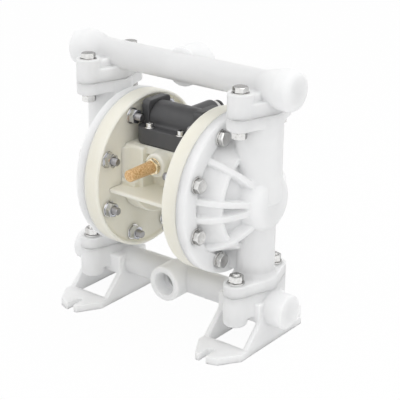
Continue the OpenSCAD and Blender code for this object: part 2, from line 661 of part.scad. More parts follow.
module valve_spool() color("silver") lifted() translate([0, 0, spool_z]) turned([
    [0, -spool_half], [spool_r, -spool_half],
    [spool_r, -groove_out], [land_r, -groove_out], [land_r, -groove_in], [spool_r, -groove_in],
    [spool_r, -waist_out - 1], [neck_r, -waist_out], [neck_r, -waist_in], [spool_r, 1 - waist_in],
    [spool_r, -groove_half], [land_r, -groove_half], [land_r, groove_half], [spool_r, groove_half],
    [spool_r, waist_in - 1], [neck_r, waist_in], [neck_r, waist_out], [spool_r, waist_out + 1],
    [spool_r, groove_in], [land_r, groove_in], [land_r, groove_out], [spool_r, groove_out],
    [spool_r, spool_half], [0, spool_half]
]);
spool_seal_w = spool_groove_w - 0.3;
module spool_seals() color("dimgray") lifted() translate([0, 0, spool_z])
    for (x = [-spool_seal_step, 0, spool_seal_step]) translate([x - spool_seal_w / 2, 0, 0])
        rotate([0, 90, 0]) ring(spool_r - 0.05, land_r + 0.05, spool_seal_w);
module valve_gasket() color("dimgray") lifted() translate([0, 0, deck_z]) difference() {
    linear_extrude(height = gasket_t) polygon(rounded_box(base_x - 1, base_y - 1, base_round - 1));
    translate([0, 0, -1]) air_taps(gasket_t + 2, 0.3);
    at_screw_places() translate([0, 0, -1]) cylinder(r = valve_screw_r + 0.3, h = gasket_t + 2);
}
module at_valve_screws() lifted() at_screw_places() translate([0, 0, ledge_z]) children();
module valve_screws() color("silver") at_valve_screws() difference() {
    union() {
        translate([0, 0, valve_washer_t]) cylinder(r = valve_head_r, h = valve_head_h);
        translate([0, 0, -base_t - gasket_t - 7])
            cylinder(r = valve_screw_r, h = base_t + gasket_t + 7 + valve_washer_t + 1);
    }
    translate([0, 0, valve_washer_t + valve_head_h - 2.2]) cylinder(r = 2.3, h = 4, $fn = 6);
}
module valve_washers() color("silver") at_valve_screws()
    ring(valve_washer_r, valve_screw_r + 0.2, valve_washer_t);

// Air inlet fitting and exhaust silencer
module air_fitting() color("silver") lifted() translate([0, 0, spool_z]) rotate([-90, 0, 0]) difference() {
    union() {
        translate([0, 0, inlet_len - 8]) cylinder(r = fitting_thread_r, h = 9);
        translate([0, 0, inlet_len]) cylinder(r = 9, h = fitting_len, $fn = 6);
    }
    translate([0, 0, inlet_len - 9]) cylinder(r = 3, h = 30);
    translate([0, 0, inlet_len + 1]) cylinder(r = 6.5 + run_gap, h = 30);
}
module fitting_collar() color("black") lifted() translate([0, 0, spool_z]) rotate([-90, 0, 0])
    translate([0, 0, inlet_len + 1]) difference() {
        union() {
            cylinder(r = 6.5, h = fitting_len);
            translate([0, 0, fitting_len - 0.9]) cylinder(r = collar_head_r, h = collar_head_len);
        }
        translate([0, 0, -1]) cylinder(r = tube_hole_r, h = 30);
    }
module at_exhaust() lifted() translate([0, -exhaust_len, exhaust_z]) rotate([90, 0, 0]) children();
module silencer_collar() color("goldenrod") at_exhaust() difference() {
    union() {
        translate([0, 0, -8]) cylinder(r = silencer_thread_r, h = 9);
        cylinder(r = 8.6, h = collar_len, $fn = 6);
    }
    translate([0, 0, -9]) cylinder(r = 3.5, h = 30);
    translate([0, 0, 2]) cylinder(r = silencer_r - 1 + run_gap, h = 30);
}
module silencer_body() color("sandybrown") at_exhaust() difference() {
    union() {
        translate([0, 0, 2.1]) cylinder(r = silencer_r - 1, h = 5);
        translate([0, 0, collar_len]) cylinder(r = silencer_r, h = silencer_len - 1.2);
        translate([0, 0, collar_len + silencer_len - 1.2])
            cylinder(r1 = silencer_r, r2 = silencer_r - 1.2, h = 1.2);
    }
    translate([0, 0, 0]) cylinder(r = 3.4, h = collar_len + silencer_len - 4);
}

// Top manifold: one tube with rounded ends, two valve elbows and the discharge port
function tube_profile(r, end_r, taper_x, bulb_x, round) = concat(
    [[0, -end_x]], arc([end_r - round, round - end_x], round, -90, 0, 6),
    [[end_r, -bulb_x], [r, -taper_x], [r, taper_x], [end_r, bulb_x]],
    arc([end_r - round, end_x - round], round, 0, 90, 6), [[0, end_x]]
);
module elbow(h, shoulder_h, columns) {
    translate([port_x, 0, 0]) eared(shoulder_h);
    translate([port_x, 0, 0]) cylinder(r1 = port_flange_r - 0.5, r2 = tube_r, h = h);
    translate([port_x, 0, 0]) linear_extrude(height = columns - 2)
        polygon(oval(tube_r - 0.4, web_t / 2, ear_y));
    at_ears() cylinder(r = ear_r, h = columns);
}
module o_ring_groove(z) translate([port_x, 0, z])
    ring(o_ring_r + o_ring_w / 2, o_ring_r - o_ring_w / 2, o_ring_depth + 0.01);
module top_manifold() color("white") lifted() difference() {
    union() {
        translate([0, 0, top_tube_z]) turned(tube_profile(tube_r, bulb_r, taper_x, bulb_x, bulb_round));
        both_sides() translate([0, 0, port_face_z])
            elbow(top_tube_z - port_face_z + 2, 14, top_tube_z - port_face_z);
        translate([0, 0, top_tube_z]) rotate([-90, 0, 0]) turned_boss(top_port_boss_r, top_port_len);
    }
    translate([0, 0, top_tube_z]) rotate([0, 90, 0])
        cylinder(r = passage_r, h = 2 * (end_x - 9), center = true);
    translate([0, 0, top_tube_z]) rotate([-90, 0, 0]) cylinder(r = passage_r - 1.5, h = top_port_len + 1);
    translate([0, top_port_len - port_thread_len, top_tube_z]) rotate([-90, 0, 0])
        cylinder(r = port_thread_r, h = port_thread_len + 1);
    both_sides() {
        translate([port_x, 0, port_face_z - 1]) cylinder(r = seat_r + seat_gap, h = cage_len - 8.8);
        translate([port_x, 0, port_face_z]) cylinder(r = neck_bore_r - 1, h = top_tube_z - port_face_z);
        at_ears() translate([0, 0, port_face_z - 1]) cylinder(r = hole_r, h = 40);
        at_ears() translate([0, 0, top_tube_z - washer_t]) cylinder(r = washer_r + 0.4, h = 20);
        o_ring_groove(port_face_z - 0.01);
    }
}

// Bottom manifold: tube, elbows, suction port and the two hollow feet with forked toes
module toe_outline() difference() {
    polygon([
        [foot_in_x, -toe_y + toe_bevel], [slot_x - slot_w / 2 - 4.7, -toe_y], [slot_x + slot_w / 2 + 2.7, -toe_y],
        [slot_x + slot_w / 2 + 12.7, -toe_y + 4], [foot_out_x - 3, -toe_y + toe_bevel - 4],
        [foot_out_x, -toe_y + toe_bevel], [foot_out_x, toe_y - toe_bevel],
        [foot_out_x - 3, toe_y - toe_bevel + 4], [slot_x + slot_w / 2 + 12.7, toe_y - 4],
        [slot_x + slot_w / 2 + 2.7, toe_y], [slot_x - slot_w / 2 - 4.7, toe_y], [foot_in_x, toe_y - toe_bevel]
    ]);
    for (s = [0, 1]) mirror([0, s]) {
        translate([slot_x, toe_y - slot_len + slot_w / 2]) circle(d = slot_w);
        translate([slot_x - slot_w / 2, toe_y - slot_len + slot_w / 2]) square([slot_w, slot_len]);
    }
    translate([foot_in_x + foot_wall_t, 7 - foot_wall_y])
        square([foot_out_x - foot_in_x - 2 * foot_wall_t, 2 * (foot_wall_y - 7)]);
}
tube_axis_z = axis_h - low_tube_z;
module foot_wall(x) translate([x, 0, 0]) along_x() linear_extrude(height = foot_wall_t) polygon([
    [-foot_wall_y, 0], [foot_wall_y, 0], [foot_wall_y - 4.5, toe_t], [20, tube_axis_z - 8],
    [16, tube_axis_z + 6], [-16, tube_axis_z + 6], [-20, tube_axis_z - 8], [4.5 - foot_wall_y, toe_t]
]);
module foot() {
    linear_extrude(height = toe_t) toe_outline();
    foot_wall(foot_in_x);
    foot_wall(foot_out_x - foot_wall_t);
    translate([foot_in_x + 1, -foot_block_y, tube_axis_z - 10])
        cube([foot_out_x - foot_in_x - 2, 2 * foot_block_y, 20]);
}
module low_elbow() {
    translate([port_x, 0, tube_axis_z - 4]) eared(low_tube_z - port_face_z + 4);
    at_ears() translate([0, 0, axis_h - port_face_z]) mirror([0, 0, 1]) rotate_extrude() polygon(concat(
        [[0, 0], [ear_r, 0]], arc([ear_r - 5, column_drop - 4.5], 5, 0, 60, 4), [[6, column_drop], [0, column_drop]]
    ));
}
module bottom_manifold() color("white") difference() {
    union() {
        translate([0, 0, tube_axis_z]) turned(tube_profile(tube_r, low_end_r, low_taper_x, low_bulb_x, 2));
        both_sides() low_elbow();
        both_sides() foot();
        translate([0, 0, tube_axis_z]) rotate([90, 0, 0]) turned_boss(low_port_boss_r, low_port_len);
    }
    translate([0, 0, tube_axis_z]) {
        rotate([0, 90, 0]) cylinder(r = passage_r, h = 2 * (end_x - 9), center = true);
        rotate([90, 0, 0]) cylinder(r = passage_r - 1.5, h = low_port_len + 1);
        translate([0, -low_port_len + port_thread_len, 0]) rotate([90, 0, 0])
            cylinder(r = port_thread_r, h = port_thread_len + 1);
    }
    both_sides() {
        translate([port_x, 0, axis_h - port_face_z - seat_t]) cylinder(r = seat_r + seat_gap, h = seat_t + 1);
        translate([port_x, 0, tube_axis_z]) cylinder(r = neck_bore_r - 1, h = low_tube_z - port_face_z);
        at_ears() cylinder(r = hole_r, h = axis_h - port_face_z + 1);
        at_ears() cylinder(r = (hex_af + 0.5) / 2 / cos(30), h = low_head_z, $fn = 6);
        o_ring_groove(axis_h - port_face_z - o_ring_depth);
    }
}
module port_o_rings() color("dimgray") lifted() both_sides() for (s = [-1, 1])
    translate([port_x, 0, s * (port_face_z + o_ring_depth / 2)])
        rotate_extrude() translate([o_ring_r, 0]) circle(d = o_ring_t, $fn = 24);

// Ball valves: a seat ring, a ball and a slotted cage at each port
module seat_ring() rotate_extrude() polygon([
    [seat_hole_r, 0], [seat_r, 0], [seat_r, seat_t],
    [seat_edge_r + 0.6, seat_t], [seat_edge_r, seat_t - 0.6], [seat_hole_r, seat_t - 3]
]);
module cage() difference() {
    rotate_extrude() polygon([
        [ball_r + 0.5, seat_gap], [seat_r, seat_gap], [seat_r, cage_len], [stop_r, cage_len],
        [stop_r, stop_rise], [ball_r + 0.5, stop_rise]
    ]);
    for (a = [0, 90]) rotate([0, 0, a + 45]) translate([-4, -20, 3]) cube([8, 40, cage_len]);
}
module at_inlet() translate([port_x, 0, -port_face_z]) children();
module at_outlet() translate([port_x, 0, outlet_seat_z]) children();
module inlet_seat() color("gainsboro") at_inlet() translate([0, 0, -seat_t]) seat_ring();
module outlet_seat() color("gainsboro") at_outlet() translate([0, 0, -seat_t]) seat_ring();
module inlet_seat_left() left() inlet_seat();
module inlet_seat_right() right() inlet_seat();
module outlet_seat_left() left() outlet_seat();
module outlet_seat_right() right() outlet_seat();
module valve_ball() color("snow") translate([0, 0, ball_rise]) sphere(r = ball_r);
module inlet_ball_left() left() at_inlet() valve_ball();
module inlet_ball_right() right() at_inlet() valve_ball();
module outlet_ball_left() left() at_outlet() valve_ball();
module outlet_ball_right() right() at_outlet() valve_ball();
module inlet_cage_left() color("gainsboro") left() at_inlet() cage();
module inlet_cage_right() color("gainsboro") right() at_inlet() cage();
module outlet_cage_left() color("gainsboro") left() at_outlet() cage();
module outlet_cage_right() color("gainsboro") right() at_outlet() cage();

// Fasteners, each group lying where its holes are
module bolt(len) {
    cylinder(r = bolt_r, h = len + 1);
    translate([0, 0, len]) hex(head_h);
}
module nut() difference() {
    hex(nut_h);
    translate([0, 0, -1]) cylinder(r = bolt_r + run_gap, h = nut_h + 2);
}
module washer() ring(washer_r, bolt_r + 0.2, washer_t);
module chamber_bolts() color("silver") around_bolts() translate([head_x + washer_t - chamber_bolt_len, 0, 0])
    rotate([0, 90, 0]) bolt(chamber_bolt_len);
module chamber_washers() color("silver") around_bolts() for (x = [head_x, nut_x - washer_t])
    translate([x, 0, 0]) rotate([0, 90, 0]) washer();
module chamber_nuts() color("silver") around_bolts() translate([nut_x - washer_t - nut_h, 0, 0])
    rotate([0, 90, 0]) nut();
module chamber_bolts_left() left() chamber_bolts();
module chamber_bolts_right() right() chamber_bolts();
module chamber_washers_left() left() chamber_washers();
module chamber_washers_right() right() chamber_washers();
module chamber_nuts_left() left() chamber_nuts();
module chamber_nuts_right() right() chamber_nuts();
top_head_z = axis_h + top_tube_z;
top_nut_z = axis_h + port_face_z - ear_t;
low_nut_z = axis_h - port_face_z + ear_t;
low_head_z = low_nut_z + washer_t + nut_h + bolt_tip - manifold_bolt_len;
module top_bolts() color("silver") both_sides() at_ears()
    translate([0, 0, top_head_z - manifold_bolt_len]) bolt(manifold_bolt_len);
module top_washers() color("silver") both_sides() at_ears()
    for (z = [top_head_z - washer_t, top_nut_z - washer_t])
    translate([0, 0, z]) washer();
module top_nuts() color("silver") both_sides() at_ears()
    translate([0, 0, top_nut_z - washer_t - nut_h]) nut();
module bottom_bolts() color("silver") both_sides() at_ears()
    translate([0, 0, low_head_z + manifold_bolt_len]) mirror([0, 0, 1]) bolt(manifold_bolt_len);
module bottom_washers() color("silver") both_sides() at_ears() translate([0, 0, low_nut_z]) washer();
module bottom_nuts() color("silver") both_sides() at_ears() translate([0, 0, low_nut_z + washer_t]) nut();

outer_chamber_left();
outer_chamber_right();
air_chamber_left();
air_chamber_right();
centre_block();
diaphragm_left();
diaphragm_right();
diaphragm_shaft();
inner_plate_left();
inner_plate_right();
outer_plate_left();
outer_plate_right();
shaft_bushes();
shaft_seals();
pilot_rod();
pilot_seals();
valve_body();
valve_cap_left();
valve_cap_right();
valve_cap_screws();
valve_sleeve();
valve_spool();
spool_seals();
valve_gasket();
valve_screws();
valve_washers();
air_fitting();
fitting_collar();
silencer_body();
silencer_collar();
top_manifold();
bottom_manifold();
port_o_rings();
inlet_seat_left();
inlet_seat_right();
outlet_seat_left();
outlet_seat_right();
inlet_ball_left();
inlet_ball_right();
outlet_ball_left();
outlet_ball_right();
inlet_cage_left();
inlet_cage_right();
outlet_cage_left();
outlet_cage_right();
chamber_bolts_left();
chamber_bolts_right();
chamber_washers_left();
chamber_washers_right();
chamber_nuts_left();
chamber_nuts_right();
top_bolts();
top_washers();
top_nuts();
bottom_bolts();
bottom_washers();
bottom_nuts();
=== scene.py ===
# Looks of the air-operated double diaphragm pump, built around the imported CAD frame.
# Lengths in the dictionaries are millimetres in the frame's own axes, angles are degrees.
import json
import math
import random

import bmesh
import bpy
from mathutils import Matrix, Vector


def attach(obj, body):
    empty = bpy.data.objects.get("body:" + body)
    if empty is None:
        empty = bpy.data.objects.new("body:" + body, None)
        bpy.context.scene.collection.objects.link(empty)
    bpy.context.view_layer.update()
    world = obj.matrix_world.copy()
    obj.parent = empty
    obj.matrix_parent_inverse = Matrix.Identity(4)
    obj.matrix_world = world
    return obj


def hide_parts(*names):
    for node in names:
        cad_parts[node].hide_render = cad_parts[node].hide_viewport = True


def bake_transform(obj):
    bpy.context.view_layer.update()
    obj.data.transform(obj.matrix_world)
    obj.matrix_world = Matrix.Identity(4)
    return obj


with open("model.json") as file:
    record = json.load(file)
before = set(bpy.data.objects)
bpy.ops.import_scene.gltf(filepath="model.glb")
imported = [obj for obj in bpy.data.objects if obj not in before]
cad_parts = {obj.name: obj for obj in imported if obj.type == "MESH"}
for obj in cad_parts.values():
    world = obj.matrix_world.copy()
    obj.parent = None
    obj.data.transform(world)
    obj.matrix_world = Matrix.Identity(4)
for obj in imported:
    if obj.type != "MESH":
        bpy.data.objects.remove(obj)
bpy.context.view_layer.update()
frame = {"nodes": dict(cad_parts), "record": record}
nodes = frame["nodes"]
mm = 0.001
print("frame loaded:", len(nodes), "nodes")


# helpers for objects and shader nodes
def newObject(name, data):
    item = bpy.data.objects.new(name, data)
    bpy.context.collection.objects.link(item)
    return item


def feed(tree, node, given):
    # a number or a colour is set on its input, another node's output is linked to it
    for label, value in given.items():
        if isinstance(value, (int, float, tuple)):
            node.inputs[label].default_value = value
        else:
            tree.links.new(value, node.inputs[label])


def addNode(tree, kind, given):
    node = tree.nodes.new(kind)
    feed(tree, node, given)
    return node.outputs


def mathNode(tree, operation, first, second):
    node = tree.nodes.new("ShaderNodeMath")
    node.operation = operation
    feed(tree, node, {0: first, 1: second})
    return node.outputs[0]


def blendColour(tree, factor, first, second):
    node = tree.nodes.new("ShaderNodeMix")
    node.data_type = "RGBA"
    feed(tree, node, {0: factor, 6: first, 7: second})  # 6 and 7 are its colour inputs
    return node.outputs[2]


# camera and light; the lamps and the floor are in metres
cameraView = {
    "azimuth": 38.38, "elevation": 20.555, "roll": 0.33, "distance": 1218.5, "aimHeight": 147.5,
    "lens": 109.25, "sensor": 36.0, "shiftX": 0.047, "shiftY": -0.058, "near": 50.0, "far": 20000.0,
}


def addCamera(view):
    azimuth = math.radians(view["azimuth"])
    elevation = math.radians(view["elevation"])
    back = Vector((
        math.sin(azimuth) * math.cos(elevation),
        -math.cos(azimuth) * math.cos(elevation),
        math.sin(elevation),
    ))
    camera = newObject("camera", bpy.data.cameras.new("camera"))
    camera.data.lens = view["lens"]
    camera.data.sensor_width = view["sensor"]
    camera.data.shift_x = view["shiftX"]
    camera.data.shift_y = view["shiftY"]
    camera.data.clip_start = view["near"] * mm
    camera.data.clip_end = view["far"] * mm
    camera.location = Vector((0, 0, view["aimHeight"] * mm)) + back * view["distance"] * mm
    camera.rotation_mode = "QUATERNION"
    roll = Matrix.Rotation(math.radians(view["roll"]), 3, "Z").to_quaternion()
    camera.rotation_quaternion = (-back).to_track_quat("-Z", "Y") @ roll
    bpy.context.scene.camera = camera


lampPlan = {
    "keyLamp": {"place": (-0.5, -0.8, 1.3), "size": 0.9, "power": 1.1},
    "sideLamp": {"place": (0.85, -0.8, 1.0), "size": 0.9, "power": 1.7},
    "backLamp": {"place": (0.2, 0.4, 1.5), "size": 0.9, "power": 2.4},
}
studio = {
    "lampAim": (0, 0, 0.14), "worldLight": 0.87, "backdrop": 1.0, "white": (1, 1, 1, 1),
    "floorColour": (0.93, 0.93, 0.93, 1), "floorGlow": 0.95, "floorSize": 8.0,
}


def addLamps(plan, aimPoint):
    for name, values in plan.items():
        lamp = newObject(name, bpy.data.lights.new(name, "AREA"))
        lamp.data.shape = "DISK"
        lamp.data.size = values["size"]
        lamp.data.energy = values["power"]
        lamp.location = values["place"]
        lamp.rotation_mode = "QUATERNION"
        lamp.rotation_quaternion = (Vector(aimPoint) - lamp.location).to_track_quat("-Z", "Y")


def seenDirectly(tree):
    # 1 for rays that should see the plain backdrop
    path = tree.nodes.new("ShaderNodeLightPath").outputs
    first = mathNode(tree, "MAXIMUM", path["Is Camera Ray"], path["Is Glossy Ray"])
    return mathNode(tree, "MAXIMUM", first, path["Is Transmission Ray"])


def whiteLight(tree, kind, strength):
    return addNode(tree, kind, {"Color": studio["white"], "Strength": strength})[0]


def mixedOutput(tree, kind, factor, first, second):
    mix = addNode(tree, "ShaderNodeMixShader", {0: factor, 1: first, 2: second})
    addNode(tree, kind, {"Surface": mix[0]})


def addWorld(values):
    world = bpy.data.worlds.new("studioWorld")
    bpy.context.scene.world = world
    world.use_nodes = True
    tree = world.node_tree
    tree.nodes.clear()
    lighting = whiteLight(tree, "ShaderNodeBackground", values["worldLight"])
    backdrop = whiteLight(tree, "ShaderNodeBackground", values["backdrop"])
    mixedOutput(tree, "ShaderNodeOutputWorld", seenDirectly(tree), lighting, backdrop)


def addFloor(values):
    mesh = bpy.data.meshes.new("studioFloor")
    half = values["floorSize"] / 2
    corners = [(-half, -half, 0), (half, -half, 0), (half, half, 0), (-half, half, 0)]
    mesh.from_pydata(corners, [], [(0, 1, 2, 3)])
    floor = newObject("studioFloor", mesh)
    material = bpy.data.materials.new("paleFloor")
    material.use_nodes = True
    tree = material.node_tree
    tree.nodes.clear()
    diffuse = addNode(tree, "ShaderNodeBsdfDiffuse", {"Color": values["floorColour"]})[0]
    glow = whiteLight(tree, "ShaderNodeEmission", values["backdrop"])
    share = mathNode(tree, "MULTIPLY", seenDirectly(tree), values["floorGlow"])
    mixedOutput(tree, "ShaderNodeOutputMaterial", share, diffuse, glow)
    mesh.materials.append(material)


bpy.context.scene.view_settings.view_transform = "Standard"
addCamera(cameraView)
addLamps(lampPlan, studio["lampAim"])
addWorld(studio)
addFloor(studio)
print("camera, lamps and floor placed")


# shared shader groups
def newGroup(name, inputs, outputs):
    tree = bpy.data.node_groups.new(name, "ShaderNodeTree")
    for label, value in inputs.items():
        kind = "NodeSocketColor" if isinstance(value, tuple) else "NodeSocketFloat"
        socket = tree.interface.new_socket(label, in_out="INPUT", socket_type=kind)
        socket.default_value = value
    for label in outputs:
        kind = "NodeSocketColor" if label == "Colour" else "NodeSocketFloat"
        tree.interface.new_socket(label, in_out="OUTPUT", socket_type=kind)
    return tree, tree.nodes.new("NodeGroupInput").outputs, tree.nodes.new("NodeGroupOutput")


def objectPlace(tree):
    return tree.nodes.new("ShaderNodeTexCoord").outputs["Object"]


def stretched(tree, place, scale):
    return addNode(tree, "ShaderNodeMapping", {"Vector": place, "Scale": scale})["Vector"]


def noiseNode(tree, place, values, scale=None):
    return addNode(tree, "ShaderNodeTexNoise", {
        "Vector": place, "Scale": values["scale"] if scale is None else scale,
        "Detail": values["detail"], "Roughness": values["rough"],
    })["Fac"]


def spread(tree, value, limits, toLow=0.0, toHigh=1.0):
    return addNode(tree, "ShaderNodeMapRange", {
        "Value": value, "From Min": limits[0], "From Max": limits[1],
        "To Min": toLow, "To Max": toHigh,
    })["Result"]


def clamped(tree, value):
    return addNode(tree, "ShaderNodeClamp", {"Value": value})[0]


skinNoise = {
    "clouds": {"detail": 4.0, "rough": 0.55, "limits": (0.35, 0.7)},
    "flow": {"scale": 130.0, "detail": 2.0, "rough": 0.5, "limits": (0.3, 0.7), "share": 0.4,
             "stretch": (1.0, 0.25, 1.0)},
    "grain": {"detail": 2.0, "rough": 0.6, "share": 0.6},
}


def makeMouldedSkin(noise):
    # moulded plastic: slow clouds in the colour, a fine spark texture and faint flow marks
    tree, given, result = newGroup("mouldedSkin", {
        "Main Colour": (0.8, 0.8, 0.8, 1), "Cloud Colour": (0.7, 0.7, 0.7, 1), "Cloud Scale": 40.0,
        "Grain Scale": 900.0, "Gloss Low": 0.32, "Gloss High": 0.5,
    }, ["Colour", "Roughness", "Height"])
    place = objectPlace(tree)
    clouds = noiseNode(tree, place, noise["clouds"], given["Cloud Scale"])
    veil = spread(tree, clouds, noise["clouds"]["limits"])
    flow = noiseNode(tree, stretched(tree, place, noise["flow"]["stretch"]), noise["flow"])
    grain = noiseNode(tree, place, noise["grain"], given["Grain Scale"])
    low, high = given["Gloss Low"], given["Gloss High"]
    feed(tree, result, {
        "Colour": blendColour(tree, veil, given["Main Colour"], given["Cloud Colour"]),
        "Roughness": spread(tree, flow, noise["flow"]["limits"], low, high),
        "Height": mathNode(
            tree, "ADD", mathNode(tree, "MULTIPLY", grain, noise["grain"]["share"]),
            mathNode(tree, "MULTIPLY", flow, noise["flow"]["share"])),
    })
    return tree


flatPoint = 0.5  # pointiness of a flat face


def makeEdgeMask(level):
    # masks for painted light: Edge is 1 on outer edges, for a painted highlight, and Corner is 1 in
    # inner corners, for painted shade, softened, from the mesh itself
    tree, given, result = newGroup("edgeMask", {"Sharpness": 8.0}, ["Edge", "Corner"])
    form = tree.nodes.new("ShaderNodeNewGeometry").outputs["Pointiness"]
    scaled = mathNode(tree, "MULTIPLY", mathNode(tree, "SUBTRACT", form, level), given["Sharpness"])
    feed(tree, result, {
        "Edge": clamped(tree, scaled),
        "Corner": clamped(tree, mathNode(tree, "MULTIPLY", scaled, -1.0)),
    })
    return tree


markNoise = {
    "streaks": {"detail": 3.0, "rough": 0.6, "limits": (0.3, 0.7), "stretch": (0.15, 1.0, 1.0)},
    "stains": {"scale": 260.0, "detail": 3.0, "rough": 0.6, "limits": (0.45, 0.72)},
}


def makeToolMarks(noise):
    # drawn or turned metal: stretched streaks and small stains
    tree, given, result = newGroup("toolMarks", {
        "Main Colour": (0.6, 0.6, 0.6, 1), "Stain Colour": (0.4, 0.4, 0.4, 1),
        "Streak Scale": 700.0, "Gloss Low": 0.18, "Gloss High": 0.42,
    }, ["Colour", "Roughness", "Height"])
    place = objectPlace(tree)
    along = stretched(tree, place, noise["streaks"]["stretch"])
    streaks = noiseNode(tree, along, noise["streaks"], given["Streak Scale"])
    stains = noiseNode(tree, place, noise["stains"])
    veil = spread(tree, stains, noise["stains"]["limits"])
    low, high = given["Gloss Low"], given["Gloss High"]
    feed(tree, result, {
        "Colour": blendColour(tree, veil, given["Main Colour"], given["Stain Colour"]),
        "Roughness": spread(tree, streaks, noise["streaks"]["limits"], low, high),
        "Height": streaks,
    })
    return tree


beadNoise = {
    "clouds": {"scale": 350.0, "detail": 3.0, "rough": 0.6, "limits": (0.3, 0.7)},
    "cells": (0.1, 0.75), "least": 0.7,
}


def makeBeadGrain(noise):
    # sintered beads: small round cells, with painted shade darkening the pits between them
    tree, given, result = newGroup("beadGrain", {
        "Bead Colour": (0.8, 0.5, 0.25, 1), "Painted Pit Shade": (0.4, 0.2, 0.08, 1), "Bead Scale": 1500.0,
    }, ["Colour", "Height"])
    place = objectPlace(tree)
    cells = addNode(tree, "ShaderNodeTexVoronoi", {"Vector": place, "Scale": given["Bead Scale"]})
    depth = spread(tree, cells["Distance"], noise["cells"], 1.0, 0.0)
    clouds = spread(tree, noiseNode(tree, place, noise["clouds"]), noise["clouds"]["limits"],
                    noise["least"], 1.0)
    veil = mathNode(tree, "MULTIPLY", depth, clouds)
    feed(tree, result, {
        "Colour": blendColour(tree, veil, given["Painted Pit Shade"], given["Bead Colour"]),
        "Height": depth,
    })
    return tree


groups = {
    "mouldedSkin": makeMouldedSkin(skinNoise),
    "edgeMask": makeEdgeMask(flatPoint),
    "toolMarks": makeToolMarks(markNoise),
    "beadGrain": makeBeadGrain(beadNoise),
}
print("shader groups built:", ", ".join(groups))


# materials
def startMaterial(name):
    material = bpy.data.materials.new(name)
    material.use_nodes = True
    tree = material.node_tree
    tree.nodes.clear()
    shader = tree.nodes.new("ShaderNodeBsdfPrincipled")
    addNode(tree, "ShaderNodeOutputMaterial", {"Surface": shader.outputs[0]})
    return material, tree, shader


def placeGroup(tree, name, given):
    node = tree.nodes.new("ShaderNodeGroup")
    node.node_tree = groups[name]
    feed(tree, node, given)
    return node.outputs


def paintedEdgeLightAndShade(tree, colour, values):
    # painted highlight paler on outer edges, painted shade deeper in inner corners
    edges = placeGroup(tree, "edgeMask", {"Sharpness": values["edgeSharpness"]})
    for label, share, tint in (("Edge", "paintedEdgeHighlightShare", "paintedEdgeHighlightColour"),
                               ("Corner", "paintedCornerShadeShare", "paintedCornerShadeColour")):
        factor = mathNode(tree, "MULTIPLY", edges[label], values[share])
        colour = blendColour(tree, factor, colour, values[tint])
    return colour


def bumpNormal(tree, height, values):
    return addNode(tree, "ShaderNodeBump", {
        "Height": height, "Strength": values["bumpStrength"], "Distance": values["bump"] * mm,
    })["Normal"]


def plasticMaterial(name, values):
    material, tree, shader = startMaterial(name)
    skin = placeGroup(tree, "mouldedSkin", {
        "Main Colour": values["main"], "Cloud Colour": values["cloud"],
        "Cloud Scale": values["cloudScale"], "Grain Scale": values["grainScale"],
        "Gloss Low": values["gloss"][0], "Gloss High": values["gloss"][1],
    })
    feed(tree, shader, {
        "Base Color": paintedEdgeLightAndShade(tree, skin["Colour"], values),
        "Roughness": skin["Roughness"],
        "IOR": values["ior"],
        "Subsurface Weight": values["soft"],
        "Subsurface Radius": values["softRadius"],
        "Subsurface Scale": values["softDepth"] * mm,
        "Normal": bumpNormal(tree, skin["Height"], values),
    })
    return material


def metalMaterial(name, values):
    material, tree, shader = startMaterial(name)
    marks = placeGroup(tree, "toolMarks", {
        "Main Colour": values["main"], "Stain Colour": values["stain"],
        "Streak Scale": values["streak"],
        "Gloss Low": values["gloss"][0], "Gloss High": values["gloss"][1],
    })
    shaded = paintedEdgeLightAndShade(tree, marks["Colour"], values)
    # painted reflection: flanks turned away from the eye get a darker colour, as if they mirrored a
    # darker room
    slope = addNode(tree, "ShaderNodeLayerWeight", {"Blend": values["paintedFlankReflectionBlend"]})["Facing"]
    veil = spread(tree, slope, values["paintedFlankReflectionLimits"])
    feed(tree, shader, {
        "Base Color": blendColour(tree, veil, shaded, values["paintedFlankReflectionColour"]),
        "Roughness": marks["Roughness"],
        "Metallic": values["metal"],
        "Normal": bumpNormal(tree, marks["Height"], values),
    })
    return material


def beadMaterial(name, values):
    material, tree, shader = startMaterial(name)
    grain = placeGroup(tree, "beadGrain", {
        "Bead Colour": values["bead"], "Painted Pit Shade": values["pit"], "Bead Scale": values["scale"],
    })
    feed(tree, shader, {
        "Base Color": grain["Colour"],
        "Roughness": values["gloss"],
        "Metallic": values["metal"],
        "Normal": bumpNormal(tree, grain["Height"], values),
    })
    return material


